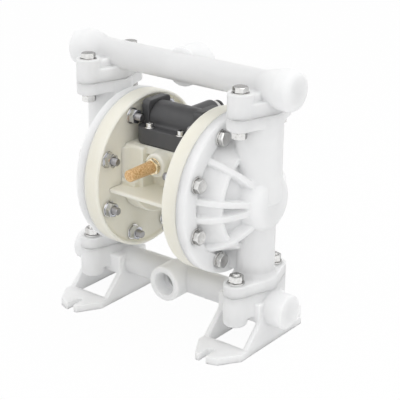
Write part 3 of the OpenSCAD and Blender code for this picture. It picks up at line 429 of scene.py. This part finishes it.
# what all plastics share, unless one says otherwise
plasticShared = {
    "edgeSharpness": 6.0, "ior": 1.49, "bumpStrength": 0.5,
    "soft": 0.0, "softDepth": 1.0, "softRadius": (1.0, 1.0, 1.0),
}
# in each look the edge colour is a painted highlight on outer edges and the corner colour is
# painted shade in inner corners
plasticLooks = {
    "milkyPlastic": {
        "main": (0.90, 0.903, 0.905, 1), "cloud": (0.86, 0.865, 0.87, 1), "cloudScale": 28.0,
        "grainScale": 1100.0, "gloss": (0.34, 0.48), "bump": 0.05, "soft": 1.0, "softDepth": 14.0,
        "paintedEdgeHighlightShare": 0.35, "paintedEdgeHighlightColour": (0.93, 0.93, 0.93, 1),
        "paintedCornerShadeShare": 0.15, "paintedCornerShadeColour": (0.76, 0.77, 0.79, 1),
    },
    "ivoryPlastic": {
        "main": (0.875, 0.855, 0.768, 1), "cloud": (0.84, 0.818, 0.72, 1), "cloudScale": 30.0,
        "grainScale": 1000.0, "gloss": (0.36, 0.5), "bump": 0.06, "soft": 0.8, "softDepth": 6.0,
        "paintedEdgeHighlightShare": 0.35, "paintedEdgeHighlightColour": (0.90, 0.89, 0.82, 1),
        "paintedCornerShadeShare": 0.35, "paintedCornerShadeColour": (0.60, 0.57, 0.42, 1),
    },
    "darkPlastic": {
        "main": (0.076, 0.076, 0.079, 1), "cloud": (0.064, 0.064, 0.067, 1), "cloudScale": 45.0,
        "grainScale": 1400.0, "gloss": (0.38, 0.52), "bump": 0.08,
        "paintedEdgeHighlightShare": 0.3, "paintedEdgeHighlightColour": (0.12, 0.12, 0.125, 1),
        "paintedCornerShadeShare": 0.3, "paintedCornerShadeColour": (0.03, 0.03, 0.03, 1),
    },
    "blackPlastic": {
        "main": (0.012, 0.012, 0.013, 1), "cloud": (0.008, 0.008, 0.009, 1), "cloudScale": 60.0,
        "grainScale": 1500.0, "gloss": (0.3, 0.42), "bump": 0.05,
        "paintedEdgeHighlightShare": 0.3, "paintedEdgeHighlightColour": (0.035, 0.035, 0.035, 1),
        "paintedCornerShadeShare": 0.2, "paintedCornerShadeColour": (0.004, 0.004, 0.004, 1),
    },
    "sealRubber": {
        "main": (0.02, 0.02, 0.02, 1), "cloud": (0.028, 0.027, 0.026, 1), "cloudScale": 200.0,
        "grainScale": 1800.0, "gloss": (0.55, 0.75), "bump": 0.08,
        "paintedEdgeHighlightShare": 0.2, "paintedEdgeHighlightColour": (0.05, 0.05, 0.05, 1),
        "paintedCornerShadeShare": 0.2, "paintedCornerShadeColour": (0.01, 0.01, 0.01, 1),
    },
    "diaphragmRubber": {
        "main": (0.72, 0.70, 0.63, 1), "cloud": (0.66, 0.64, 0.56, 1), "cloudScale": 90.0,
        "grainScale": 1500.0, "gloss": (0.5, 0.65), "bump": 0.08, "soft": 0.1, "softDepth": 1.5,
        "paintedEdgeHighlightShare": 0.2, "paintedEdgeHighlightColour": (0.78, 0.76, 0.70, 1),
        "paintedCornerShadeShare": 0.2, "paintedCornerShadeColour": (0.5, 0.48, 0.4, 1),
    },
    "ballPolymer": {
        "main": (0.88, 0.88, 0.87, 1), "cloud": (0.84, 0.84, 0.82, 1), "cloudScale": 120.0,
        "grainScale": 1500.0, "gloss": (0.25, 0.36), "bump": 0.03, "soft": 0.2, "softDepth": 2.0,
        "paintedEdgeHighlightShare": 0.1, "paintedEdgeHighlightColour": (0.92, 0.92, 0.92, 1),
        "paintedCornerShadeShare": 0.1, "paintedCornerShadeColour": (0.7, 0.7, 0.7, 1),
    },
    "seatPlastic": {
        "main": (0.78, 0.78, 0.76, 1), "cloud": (0.72, 0.72, 0.70, 1), "cloudScale": 100.0,
        "grainScale": 1300.0, "gloss": (0.36, 0.5), "bump": 0.05, "soft": 0.15, "softDepth": 2.0,
        "paintedEdgeHighlightShare": 0.25, "paintedEdgeHighlightColour": (0.86, 0.86, 0.85, 1),
        "paintedCornerShadeShare": 0.25, "paintedCornerShadeColour": (0.55, 0.55, 0.53, 1),
    },
}
metalShared = {
    "edgeSharpness": 6.0, "paintedEdgeHighlightShare": 0.5, "paintedCornerShadeShare": 0.8, "paintedFlankReflectionBlend": 0.4,
    "paintedFlankReflectionLimits": (0.25, 0.8), "metal": 1.0, "bumpStrength": 0.35,
}
# each metal's flank colour is a painted reflection of a darker room, laid on flanks turned away
# from the eye
metalLooks = {
    "zincSteel": {
        "main": (0.83, 0.825, 0.815, 1), "stain": (0.68, 0.67, 0.65, 1), "streak": 900.0,
        "gloss": (0.14, 0.30), "paintedEdgeHighlightColour": (0.90, 0.90, 0.88, 1),
        "paintedCornerShadeColour": (0.06, 0.055, 0.05, 1), "paintedFlankReflectionColour": (0.13, 0.125, 0.12, 1), "bump": 0.05,
    },
    "dulledSteel": {
        "main": (0.70, 0.72, 0.79, 1), "stain": (0.46, 0.475, 0.52, 1), "streak": 700.0,
        "gloss": (0.12, 0.26), "paintedEdgeHighlightColour": (0.90, 0.90, 0.88, 1),
        "paintedCornerShadeColour": (0.02, 0.02, 0.018, 1), "paintedFlankReflectionColour": (0.05, 0.048, 0.045, 1),
        "bump": 0.05,
    },
    # a darker copy of the bolt steel for the bolt ends past the nuts: painted shade
    "threadSteel": {
        "main": (0.40, 0.39, 0.395, 1), "stain": (0.28, 0.275, 0.28, 1), "streak": 700.0,
        "gloss": (0.28, 0.42), "paintedEdgeHighlightColour": (0.80, 0.80, 0.79, 1),
        "paintedCornerShadeColour": (0.04, 0.04, 0.035, 1), "paintedFlankReflectionColour": (0.08, 0.075, 0.07, 1), "bump": 0.05,
    },
    "turnedBrass": {
        "main": (0.95, 0.84, 0.62, 1), "stain": (0.82, 0.68, 0.42, 1), "streak": 1100.0,
        "gloss": (0.16, 0.34), "paintedEdgeHighlightColour": (0.98, 0.90, 0.72, 1),
        "paintedCornerShadeColour": (0.22, 0.13, 0.05, 1), "paintedFlankReflectionColour": (0.36, 0.24, 0.09, 1), "bump": 0.04,
    },
}
beadLooks = {
    # the pit colour is painted shade in the hollows between the beads
    "sinteredBronze": {
        "bead": (0.97, 0.72, 0.40, 1), "pit": (0.58, 0.32, 0.12, 1), "scale": 800.0,
        "gloss": 0.32, "metal": 0.15, "bump": 0.4, "bumpStrength": 0.8,
    },
}
materials = {}
for makeMaterial, shared, looks in (
    (plasticMaterial, plasticShared, plasticLooks),
    (metalMaterial, metalShared, metalLooks),
    (beadMaterial, {}, beadLooks),
):
    for name, values in looks.items():
        materials[name] = makeMaterial(name, {**shared, **values})
slotLooks = {
    "milky_plastic": "milkyPlastic", "ivory_plastic": "ivoryPlastic", "dark_plastic": "darkPlastic",
    "black_plastic": "blackPlastic", "steel": "zincSteel", "brass": "turnedBrass",
    "sintered_bronze": "sinteredBronze", "diaphragm_rubber": "diaphragmRubber",
    "seal_rubber": "sealRubber", "ball_ptfe": "ballPolymer", "seat_plastic": "seatPlastic",
}
record = frame["record"]
nodeSlot = {part["node"]: part["material_slot"] for part in record["subparts"]}
nodeBody = {node: body for body, members in record["behaviour"]["bodies"].items()
            for node in members}


def dressNode(name):
    data = nodes[name].data
    look = materials[slotLooks[nodeSlot[name]]]
    if not data.materials:
        data.materials.append(look)
    for index in range(len(data.materials)):
        data.materials[index] = look


for name in nodes:
    dressNode(name)
print("materials built:", len(materials))


# pieces that stand for CAD nodes, and the work on their meshes
def addPiece(name, mesh, replaced, angle=None, look=None, tips=None):
    # replaced: the CAD node that the piece stands for; it rides on the node's body
    # angle: edges steeper than this stay sharp
    # tips: another look for the faces nearer the middle plane than a distance
    piece = newObject(name, mesh)
    slotName = nodeSlot[replaced]
    mesh.materials.clear()
    mesh.materials.append(materials[look or slotLooks[slotName]])
    if tips:
        mesh.materials.append(materials[tips[0]])
        for face in mesh.polygons:
            face.material_index = int(abs(face.center.x) < tips[1] * mm)
    mesh.shade_smooth()
    if angle is not None:
        mesh.set_sharp_from_angle(angle=math.radians(angle))
    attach(piece, nodeBody[replaced])
    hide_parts(replaced)


def reworked(mesh, change):
    work = bmesh.new()
    work.from_mesh(mesh)
    change(work)
    work.to_mesh(mesh)
    work.free()
    return mesh


def mirrored(mesh):
    def flip(work):
        for vert in work.verts:
            vert.co.x = -vert.co.x
        bmesh.ops.reverse_faces(work, faces=work.faces)
    return reworked(mesh.copy(), flip)


def closedMesh(name, work):
    bmesh.ops.recalc_face_normals(work, faces=work.faces)
    mesh = bpy.data.meshes.new(name)
    work.to_mesh(mesh)
    work.free()
    return mesh


softening = {"weldReach": 0.001, "rollFactor": 0.5, "quickVoxel": 1.8}


def softened(nodeName, values, extra=None):
    # the CAD form, with any extra form joined on, and every edge rolled over as a mould leaves it
    mesh = reworked(nodes[nodeName].data.copy(), lambda work: bmesh.ops.remove_doubles(
        work, verts=work.verts, dist=softening["weldReach"] * mm))
    if extra:
        reworked(mesh, lambda work: work.from_mesh(extra))
    worker = newObject("worker", mesh)
    shell = worker.modifiers.new("shell", "REMESH")
    shell.mode = "VOXEL"
    shell.voxel_size = values["voxel"] * 1.0 * mm
    roll = worker.modifiers.new("roll", "SMOOTH")
    roll.factor = softening["rollFactor"]
    roll.iterations = values["rounds"]
    thin = worker.modifiers.new("thin", "DECIMATE")
    thin.ratio = values["keep"]
    graph = bpy.context.evaluated_depsgraph_get()
    shape = bpy.data.meshes.new_from_object(worker.evaluated_get(graph))
    bpy.data.objects.remove(worker)
    return shape


# turned rings
turnCount = 36  # points round every turned piece; a multiple of 12 keeps the hexagon corners
turnAngles = [2 * math.pi * k / turnCount for k in range(turnCount)]
turnedAngle = 30  # edges of turned pieces steeper than this stay sharp
hexTurn = 60  # a hexagon repeats after this angle


def ringPoint(angle, radius, height):
    return Vector((radius * math.cos(angle), radius * math.sin(angle), height)) * mm


def circleRing(radius, height):
    return [ringPoint(angle, radius, height) for angle in turnAngles]


def circleRings(profile):
    return [circleRing(radius, height) for radius, height in profile]


def hexRadius(angle, flats):
    sector = math.radians(hexTurn)
    return flats / 2 / math.cos((angle + sector / 2) % sector - sector / 2)


def hexRing(flats, height, crown=None, slope=0.0):
    # a ring on the hexagon; beyond the crown radius it drops, as a turned chamfer cuts it,
    # and with a slope below zero it rises, as on an underside
    ring = []
    for angle in turnAngles:
        radius = hexRadius(angle, flats)
        drop = 0.0 if crown is None else max(0.0, radius - crown) * slope
        ring.append(ringPoint(angle, radius, height - drop))
    return ring


threadRows = 6  # rings in one pitch of a thread


def threadRings(radius, pitch, depth, end, tipRadius):
    # rings with a helical V thread from height 0; the first rings run out towards the tip
    rings = []
    rows = max(2, int(end / pitch * threadRows))
    for row in range(rows + 1):
        height = end * row / rows
        ring = []
        for k, angle in enumerate(turnAngles):
            phase = (height / pitch - k / turnCount) % 1.0
            here = min(radius - depth * (1 - abs(2 * phase - 1)), tipRadius + height)
            ring.append(ringPoint(angle, here, height))
        rings.append(ring)
    return rings


def bridgeRows(work, rows, pairs):
    for low, high in pairs:
        for k in range(len(rows[0])):
            after = (k + 1) % len(rows[0])
            work.faces.new((low[k], low[after], high[after], high[k]))


def stackRings(work, rings, place, loop):
    rows = [[work.verts.new(place @ point) for point in ring] for ring in rings]
    pairs = list(zip(rows, rows[1:]))
    if loop:
        pairs.append((rows[-1], rows[0]))
    bridgeRows(work, rows, pairs)
    if not loop:
        work.faces.new(list(reversed(rows[0])))
        work.faces.new(rows[-1])


def turnedMesh(name, jobs):
    # jobs: (rings, places, loop); every ring stack is set down at each of its places
    work = bmesh.new()
    for rings, places, loop in jobs:
        for place in places:
            stackRings(work, rings, place, loop)
    return closedMesh(name, work)


def facing(direction, position, spin=0.0):
    # a matrix that turns local +Z to direction and sets the origin at position
    turn = Vector(direction).to_track_quat("Z", "Y").to_matrix().to_4x4()
    spun = Matrix.Rotation(math.radians(spin), 4, "Z")
    return Matrix.Translation(Vector(position) * mm) @ turn @ spun


def corners(x, y):
    return [(sideX * x, sideY * y) for sideX in (-1, 1) for sideY in (-1, 1)]


# mouldings
exhaustBoss = {
    "face": (0, -42.5, 171.1), "radius": 12.0, "roll": 2.2, "draft": 1.2, "depth": 27.0,
    "hole": 6.2, "steps": 6,
}
exhaustPlace = facing((0, -1, 0), exhaustBoss["face"])


def exhaustBossMesh(values):
    # the boss that the silencer screws into, fuller than in the CAD and rolled over at its face
    radius, roll, depth = values["radius"], values["roll"], values["depth"]
    profile = [(radius + values["draft"], -depth), (radius, -roll)]
    for step in range(1, values["steps"] + 1):
        angle = math.pi / 2 * step / values["steps"]
        profile.append((radius - roll + roll * math.cos(angle), roll * math.sin(angle) - roll))
    profile += [(values["hole"], 0), (values["hole"], -depth)]
    return turnedMesh("exhaustBoss", [(circleRings(profile), [exhaustPlace], True)])


blockEnds = {"reach": 4.0, "push": 1.2}


def pushEnds(mesh, values):
    # the rolled ends of the centre block sink into the air chambers, so no groove shows round them
    reach, push = values["reach"] * mm, values["push"] * mm
    half = max(vert.co.x for vert in mesh.vertices)
    for vert in mesh.vertices:
        share = (abs(vert.co.x) - half + reach) / reach
        if share > 0:
            vert.co.x += math.copysign(push * share, vert.co.x)


mouldings = {
    "outer_chamber": {"voxel": 0.8, "rounds": 4, "keep": 0.35, "pair": True},
    "air_chamber": {"voxel": 0.8, "rounds": 4, "keep": 0.35, "pair": True},
    "valve_cap": {"voxel": 0.5, "rounds": 4, "keep": 0.5, "pair": True},
    "centre_block": {"voxel": 0.7, "rounds": 5, "keep": 0.35, "pair": False},
    "valve_body": {"voxel": 0.6, "rounds": 5, "keep": 0.4, "pair": False},
    "top_manifold": {"voxel": 0.8, "rounds": 5, "keep": 0.35, "pair": False},
    "bottom_manifold": {"voxel": 0.8, "rounds": 5, "keep": 0.35, "pair": False},
}
for name, values in mouldings.items():
    source = name + "_right" if values["pair"] else name
    if name == "centre_block":
        shape = softened(source, values, exhaustBossMesh(exhaustBoss))
        pushEnds(shape, blockEnds)
    else:
        shape = softened(source, values)
    addPiece(source + "_moulding", shape, source)
    if values["pair"]:
        addPiece(name + "_left_moulding", mirrored(shape), name + "_left")
    print("moulding", name, len(shape.polygons), "faces")

# fasteners
axisHeight = 147.5
boltM8 = {
    "radius": 4.0, "pitch": 1.25, "threadDepth": 0.62, "flats": 13.0, "head": 5.3, "dish": 0.18,
    "nut": 6.6, "washerRadius": 8.3, "washer": 1.6, "washerPlay": 0.3,
}
boltForm = {
    "play": 0.03, "tip": 0.2, "runout": 0.8, "crown": 0.95, "face": 0.35, "hexStart": 0.4,
    "slope": 0.55, "dishEdge": 1.1,
}
nutForm = {"play": 0.06, "crown": 0.96, "slope": 0.5, "chamfer": 0.5}
washerEdge = 0.2


def boltRings(values):
    # from the tip up: thread, shank, washer face, chamfered hexagon, dished top
    form, flats, length = boltForm, values["flats"], values["length"]
    shank, top = values["radius"] - form["play"], length + values["head"]
    core = values["radius"] - values["threadDepth"] - form["tip"]
    crown = flats / 2 * form["crown"]
    pitch, depth, end = values["pitch"], values["threadDepth"], values["threadLength"]
    return threadRings(shank, pitch, depth, end, core) + circleRings([
        (shank, end + form["runout"]), (shank, length),
        (crown, length), (crown, length + form["face"]),
    ]) + [
        hexRing(flats, length + form["hexStart"]), hexRing(flats, top, crown, form["slope"]),
    ] + circleRings([(crown, top), (crown - form["dishEdge"], top - values["dish"])])


def hexBodyRings(values):
    # a turned body with a hexagon between two heights, chamfered at both;
    # below, above: (radius, height) points of the section on either side of the hexagon
    flats, crown, slope = values["flats"], values["crown"], values["slope"]
    low, top = values["hexLow"], values["hexTop"]
    return circleRings(values["below"] + [(crown, low)]) + [
        hexRing(flats, low, crown, -slope), hexRing(flats, top, crown, slope),
    ] + circleRings([(crown, top)] + values["above"])


def nutRings(values):
    form, height = nutForm, values["nut"]
    bore, chamfer = values["radius"] + form["play"], form["chamfer"]
    return hexBodyRings({
        "flats": values["flats"], "crown": values["flats"] / 2 * form["crown"],
        "slope": form["slope"], "hexLow": 0, "hexTop": height, "below": [],
        "above": [(bore + chamfer, height), (bore, height - chamfer), (bore, chamfer),
                  (bore + chamfer, 0)],
    })


def washerRings(values, inner):
    outer, thick, edge = values["washerRadius"], values["washer"], washerEdge
    return circleRings([
        (inner, 0), (outer - edge, 0), (outer, edge), (outer, thick - edge), (outer - edge, thick),
        (inner, thick),
    ])


chamberBolts = {
    **boltM8, "circle": 67.5, "count": 8, "length": 40.0, "threadLength": 9.0,
    "headSeat": 67.5, "nutSeat": 43.1,
    "seeds": {"bolts": 3, "nuts": 5, "headWashers": 7, "nutWashers": 9},
}


def chamberPlaces(values, reach, outward, kind):
    # the matrices of the pieces round one flange, for the right side
    rng = random.Random(values["seeds"][kind])
    places = []
    for index in range(values["count"]):
        angle = 2 * math.pi * (index + 0.5) / values["count"]
        centre = (reach, values["circle"] * math.cos(angle),
                  axisHeight + values["circle"] * math.sin(angle))
        places.append(facing((outward, 0, 0), centre, rng.uniform(0, hexTurn)))
    return places


def buildChamberFasteners(values):
    head, nut, thick = values["headSeat"], values["nutSeat"], values["washer"]
    disc = washerRings(values, values["radius"] + values["washerPlay"])
    boltPlaces = chamberPlaces(values, head + thick - values["length"], 1, "bolts")
    jobs = {
        "bolts": [(boltRings(values), boltPlaces, False)],
        "nuts": [(nutRings(values), chamberPlaces(values, nut - thick, -1, "nuts"), True)],
        "washers": [(disc, chamberPlaces(values, head, 1, "headWashers"), True),
                    (disc, chamberPlaces(values, nut, -1, "nutWashers"), True)],
    }
    looks = {
        # the bolt ends past the nuts take the darker copy of the same steel, a painted shade
        "bolts": {"tips": ("threadSteel", nut)}, "nuts": {"look": "dulledSteel"}, "washers": {},
    }
    for kind, work in jobs.items():
        mesh = turnedMesh("chamber_" + kind, work)
        for side in ("right", "left"):
            node = "chamber_" + kind + "_" + side
            shape = mesh if side == "right" else mirrored(mesh)
            addPiece(node + "_turned", shape, node, turnedAngle, **looks[kind])


manifoldBolts = {
    **boltM8, "portX": 93.5, "earY": 32.2, "length": 45.0, "threadLength": 10.0,
    "topHeadSeat": 259.7, "topNutSeat": 225.0, "lowNutSeat": 70.0, "lowHeadSeat": 35.2,
    "seeds": {"topBolts": 11, "topNuts": 12, "topHeadWashers": 13, "topNutWashers": 14,
              "lowNuts": 16, "lowNutWashers": 17},
}


def earPlaces(values, height, upward, kind=None):
    # without a kind the pieces aren't spun: the low bolt heads sit in hexagon pockets
    rng = random.Random(values["seeds"][kind]) if kind else None
    places = []
    for x, y in corners(values["portX"], values["earY"]):
        turn = rng.uniform(0, hexTurn) if kind else 0.0
        places.append(facing((0, 0, upward), (x, y, height), turn))
    return places


def buildManifoldFasteners(values):
    bolt, nut = boltRings(values), nutRings(values)
    disc = washerRings(values, values["radius"] + values["washerPlay"])
    thick, length = values["washer"], values["length"]
    topHead, topNut = values["topHeadSeat"], values["topNutSeat"]
    lowHead, lowNut = values["lowHeadSeat"], values["lowNutSeat"]
    jobs = {
        "top_bolts": [(bolt, earPlaces(values, topHead + thick - length, 1, "topBolts"), False)],
        "top_nuts": [(nut, earPlaces(values, topNut - thick, -1, "topNuts"), True)],
        "top_washers": [(disc, earPlaces(values, topHead, 1, "topHeadWashers"), True),
                        (disc, earPlaces(values, topNut, -1, "topNutWashers"), True)],
        "bottom_bolts": [(bolt, earPlaces(values, lowHead + length, -1), False)],
        "bottom_nuts": [(nut, earPlaces(values, lowNut + thick, 1, "lowNuts"), True)],
        "bottom_washers": [(disc, earPlaces(values, lowNut, 1, "lowNutWashers"), True)],
    }
    for node, work in jobs.items():
        addPiece(node + "_turned", turnedMesh(node, work), node, turnedAngle)


buildChamberFasteners(chamberBolts)
buildManifoldFasteners(manifoldBolts)
print("bolts, nuts and washers turned")

# a diaphragm's rim is clamped and its middle goes with the shaft, so it bends in between;
# it is built in sectors, each along its own radius, and neighbours meet on a shared edge
diaphragms = {
    "x": 57.5, "thick": 3.0, "hole": 5.1, "plate": 26.0, "cavity": 54.0, "bead": 60.5, "roll": 5.0,
    "sectors": 12, "slices": 6, "arcSteps": 12, "slack": 1.0, "sharp": 50,
}


def diaphragmProfile(values):
    # (radius, x) all the way round the section: the inner face out to the bead, then back
    low, high = values["x"] - values["thick"] / 2, values["x"] + values["thick"] / 2
    plate, cavity, roll, steps = (values[key] for key in ("plate", "cavity", "roll", "arcSteps"))
    rollRadius, outer = (plate + cavity) / 2, roll + values["thick"]
    flat = [values["hole"], plate / 2, plate, plate + values["slack"]]
    tilt = math.asin(values["thick"] / outer)
    inner = [(rollRadius - roll * math.cos(math.pi * k / steps),
              low + roll * math.sin(math.pi * k / steps)) for k in range(steps + 1)]
    turn = [tilt + (math.pi - 2 * tilt) * k / steps for k in range(steps + 1)]
    over = [(rollRadius + outer * math.cos(a), low + outer * math.sin(a)) for a in turn]
    rim = [(cavity, low), (values["bead"], low), (values["bead"], high), (cavity, high)]
    return [(r, low) for r in flat] + inner + rim + over + [(r, high) for r in reversed(flat)]


def diaphragmSector(values, side, middle):
    work = bmesh.new()
    half = math.pi / values["sectors"]
    rows = []
    for k in range(values["slices"] + 1):
        angle = middle - half + 2 * half * k / values["slices"]
        points = [(side * x, r * math.cos(angle), axisHeight + r * math.sin(angle))
                  for r, x in diaphragmProfile(values)]
        rows.append([work.verts.new(Vector(point) * mm) for point in points])
    bridgeRows(work, rows, zip(rows, rows[1:]))
    work.faces.new(rows[0])
    work.faces.new(rows[-1])
    return closedMesh("diaphragmSector", work)


def buildDiaphragms(values):
    half = math.pi / values["sectors"]
    for side, label in ((1, "right"), (-1, "left")):
        node = "diaphragm_" + label
        for k in range(values["sectors"]):
            middle = 2 * half * (k + 0.5)
            mesh = diaphragmSector(values, side, middle)
            piece = newObject(node + "_sector_" + str(k + 1), mesh)
            mesh.materials.append(materials[slotLooks[nodeSlot[node]]])
            mesh.shade_smooth()
            mesh.set_sharp_from_angle(angle=math.radians(values["sharp"]))
            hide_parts(node)
            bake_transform(piece)


buildDiaphragms(diaphragms)
print("diaphragms bent in", diaphragms["sectors"], "sectors each")

# small turned pieces on the valve
screwForm = {
    "tip": 0.4, "headEdge": 0.1, "headRise": 0.15, "knurlLow": 0.5, "knurlTop": 0.6, "knurl": 0.965,
    "topEdge": 0.05, "topDrop": 0.35,
}


def socketHeadRings(values):
    # a cap screw from its tip up: shank, knurled head, hexagon socket
    form, radius, height = screwForm, values["radius"], values["height"]
    shank, depth, drop = values["shank"], values["depth"], form["topDrop"]
    rings = circleRings([
        (shank - form["tip"], -depth), (shank, form["tip"] - depth), (shank, 0),
        (radius - form["headEdge"], 0), (radius, form["headRise"]),
    ])
    for level in (form["knurlLow"], height - form["knurlTop"]):
        inward = Matrix.Diagonal((form["knurl"], form["knurl"], 1.0))
        ring = circleRing(radius, level)
        rings.append([point if k % 2 else inward @ point for k, point in enumerate(ring)])
    rings += circleRings([(radius - form["topEdge"], height - drop), (radius - drop, height)])
    return rings + [hexRing(values["socket"], height),
                    hexRing(values["socket"], height - values["socketDepth"])]


valveScrews = {
    "x": 19.5, "y": 25.5, "ledge": 202.0, "washer": 1.0, "washerRadius": 5.2, "washerPlay": 0.25,
    "radius": 3.8, "height": 4.0, "shank": 2.48, "depth": 25.4, "socket": 4.0, "socketDepth": 2.4,
    "seed": 21,
}


def buildValveScrews(values):
    rng = random.Random(values["seed"])
    washerPlaces, headPlaces = (
        [facing((0, 0, 1), (x, y, level), rng.uniform(0, hexTurn))
         for x, y in corners(values["x"], values["y"])]
        for level in (values["ledge"], values["ledge"] + values["washer"])
    )
    jobs = {
        "valve_screws": [(socketHeadRings(values), headPlaces, False)],
        "valve_washers": [(washerRings(values, values["shank"] + values["washerPlay"]),
                           washerPlaces, True)],
    }
    for node, work in jobs.items():
        addPiece(node + "_turned", turnedMesh(node, work), node, turnedAngle)


capScrews = {
    "offset": 10.25, "x": 33.4, "axisZ": 206.0, "spin": 15, "radius": 2.9, "height": 2.8,
    "shank": 1.45, "depth": 13.8, "socket": 2.5, "socketDepth": 1.6,
}


def buildCapScrews(values):
    offset = values["offset"]
    places = [
        facing((side, 0, 0), (side * values["x"], y, values["axisZ"] + z), values["spin"])
        for side in (-1, 1) for y, z in corners(offset, offset)
    ]
    mesh = turnedMesh("capScrews", [(socketHeadRings(values), places, False)])
    addPiece("valve_cap_screws_turned", mesh, "valve_cap_screws", turnedAngle)


# local +Z runs out of the exhaust boss, towards the front
silencer = {
    "flats": 14.9, "crown": 7.2265, "slope": 0.5, "hexLow": 2.0, "hexTop": 5.1,
    "below": [(3.6, -8.0), (6.0, -8.0), (6.0, 0.0), (8.0, 0.0), (8.3, 0.3), (8.3, 1.2), (8.0, 1.5),
              (6.6265, 1.5), (6.6265, 2.0)],
    "above": [(6.8, 5.1), (6.8, 6.0), (5.5, 6.0), (5.5, 2.0), (3.6, 2.0)],
    "foot": [(5.3, 2.2), (5.3, 6.0), (6.0, 6.05)], "start": 6.0, "body": 6.4, "length": 32.0,
    "tip": 0.5, "tipRoll": 1.3, "rows": 56, "rowStart": 0.3, "rowTrim": 0.4,
    "endRadii": (4.2, 3.4, 2.5, 1.6, 0.7), "roughness": 0.16, "seed": 31,
}


def buildSilencer(values):
    collar = turnedMesh("silencerCollar", [(hexBodyRings(values), [exhaustPlace], True)])
    addPiece("silencer_collar_turned", collar, "silencer_collar", turnedAngle)
    rng = random.Random(values["seed"])
    length, roll, rows = values["length"], values["tipRoll"], values["rows"]
    end = values["start"] + length
    rings = circleRings(values["foot"])
    for row in range(rows + 1):
        height = values["start"] + values["rowStart"] + (length - values["rowTrim"]) * row / rows
        rounding = roll - math.sqrt(max(0.0, roll ** 2 - max(0.0, roll - end + height) ** 2))
        taper = values["tip"] * (height - values["start"]) / length
        ring = []
        for angle in turnAngles:
            here = values["body"] - taper - rounding - rng.uniform(0, values["roughness"])
            ring.append(ringPoint(angle, here, height))
        rings.append(ring)
    for radius in values["endRadii"]:
        rings.append([ringPoint(angle, radius, end - rng.uniform(0, values["roughness"]))
                      for angle in turnAngles])
    body = turnedMesh("silencerBody", [(rings, [exhaustPlace], False)])
    addPiece("silencer_body_grained", body, "silencer_body")


# local +Z runs out of the valve, towards the rear
fitting = {
    "place": (0, 50.0, 206.0), "flats": 15.6, "crown": 7.566, "slope": 0.5,
    "hexLow": 0.0, "hexTop": 6.0, "below": [(3.0, -8.0), (6.6, -8.0), (6.6, 0.0)],
    "above": [(6.6, 6.0), (6.6, 1.0), (3.0, 1.0)], "collarSharp": 50,
    "collar": [(4.05, 1.05), (6.45, 1.05), (6.45, 6.1), (7.4, 6.1), (8.0, 6.7), (8.0, 10.05),
               (7.6, 10.95), (6.7, 11.45), (5.05, 11.45), (4.35, 11.15), (4.05, 10.45)],
}


def buildFitting(values):
    place = facing((0, 1, 0), values["place"])
    body = turnedMesh("airFitting", [(hexBodyRings(values), [place], True)])
    addPiece("air_fitting_turned", body, "air_fitting", turnedAngle)
    collar = turnedMesh("fittingCollar", [(circleRings(values["collar"]), [place], True)])
    addPiece("fitting_collar_turned", collar, "fitting_collar", values["collarSharp"])


buildValveScrews(valveScrews)
buildCapScrews(capScrews)
buildSilencer(silencer)
buildFitting(fitting)
print("valve screws, silencer and fitting turned")
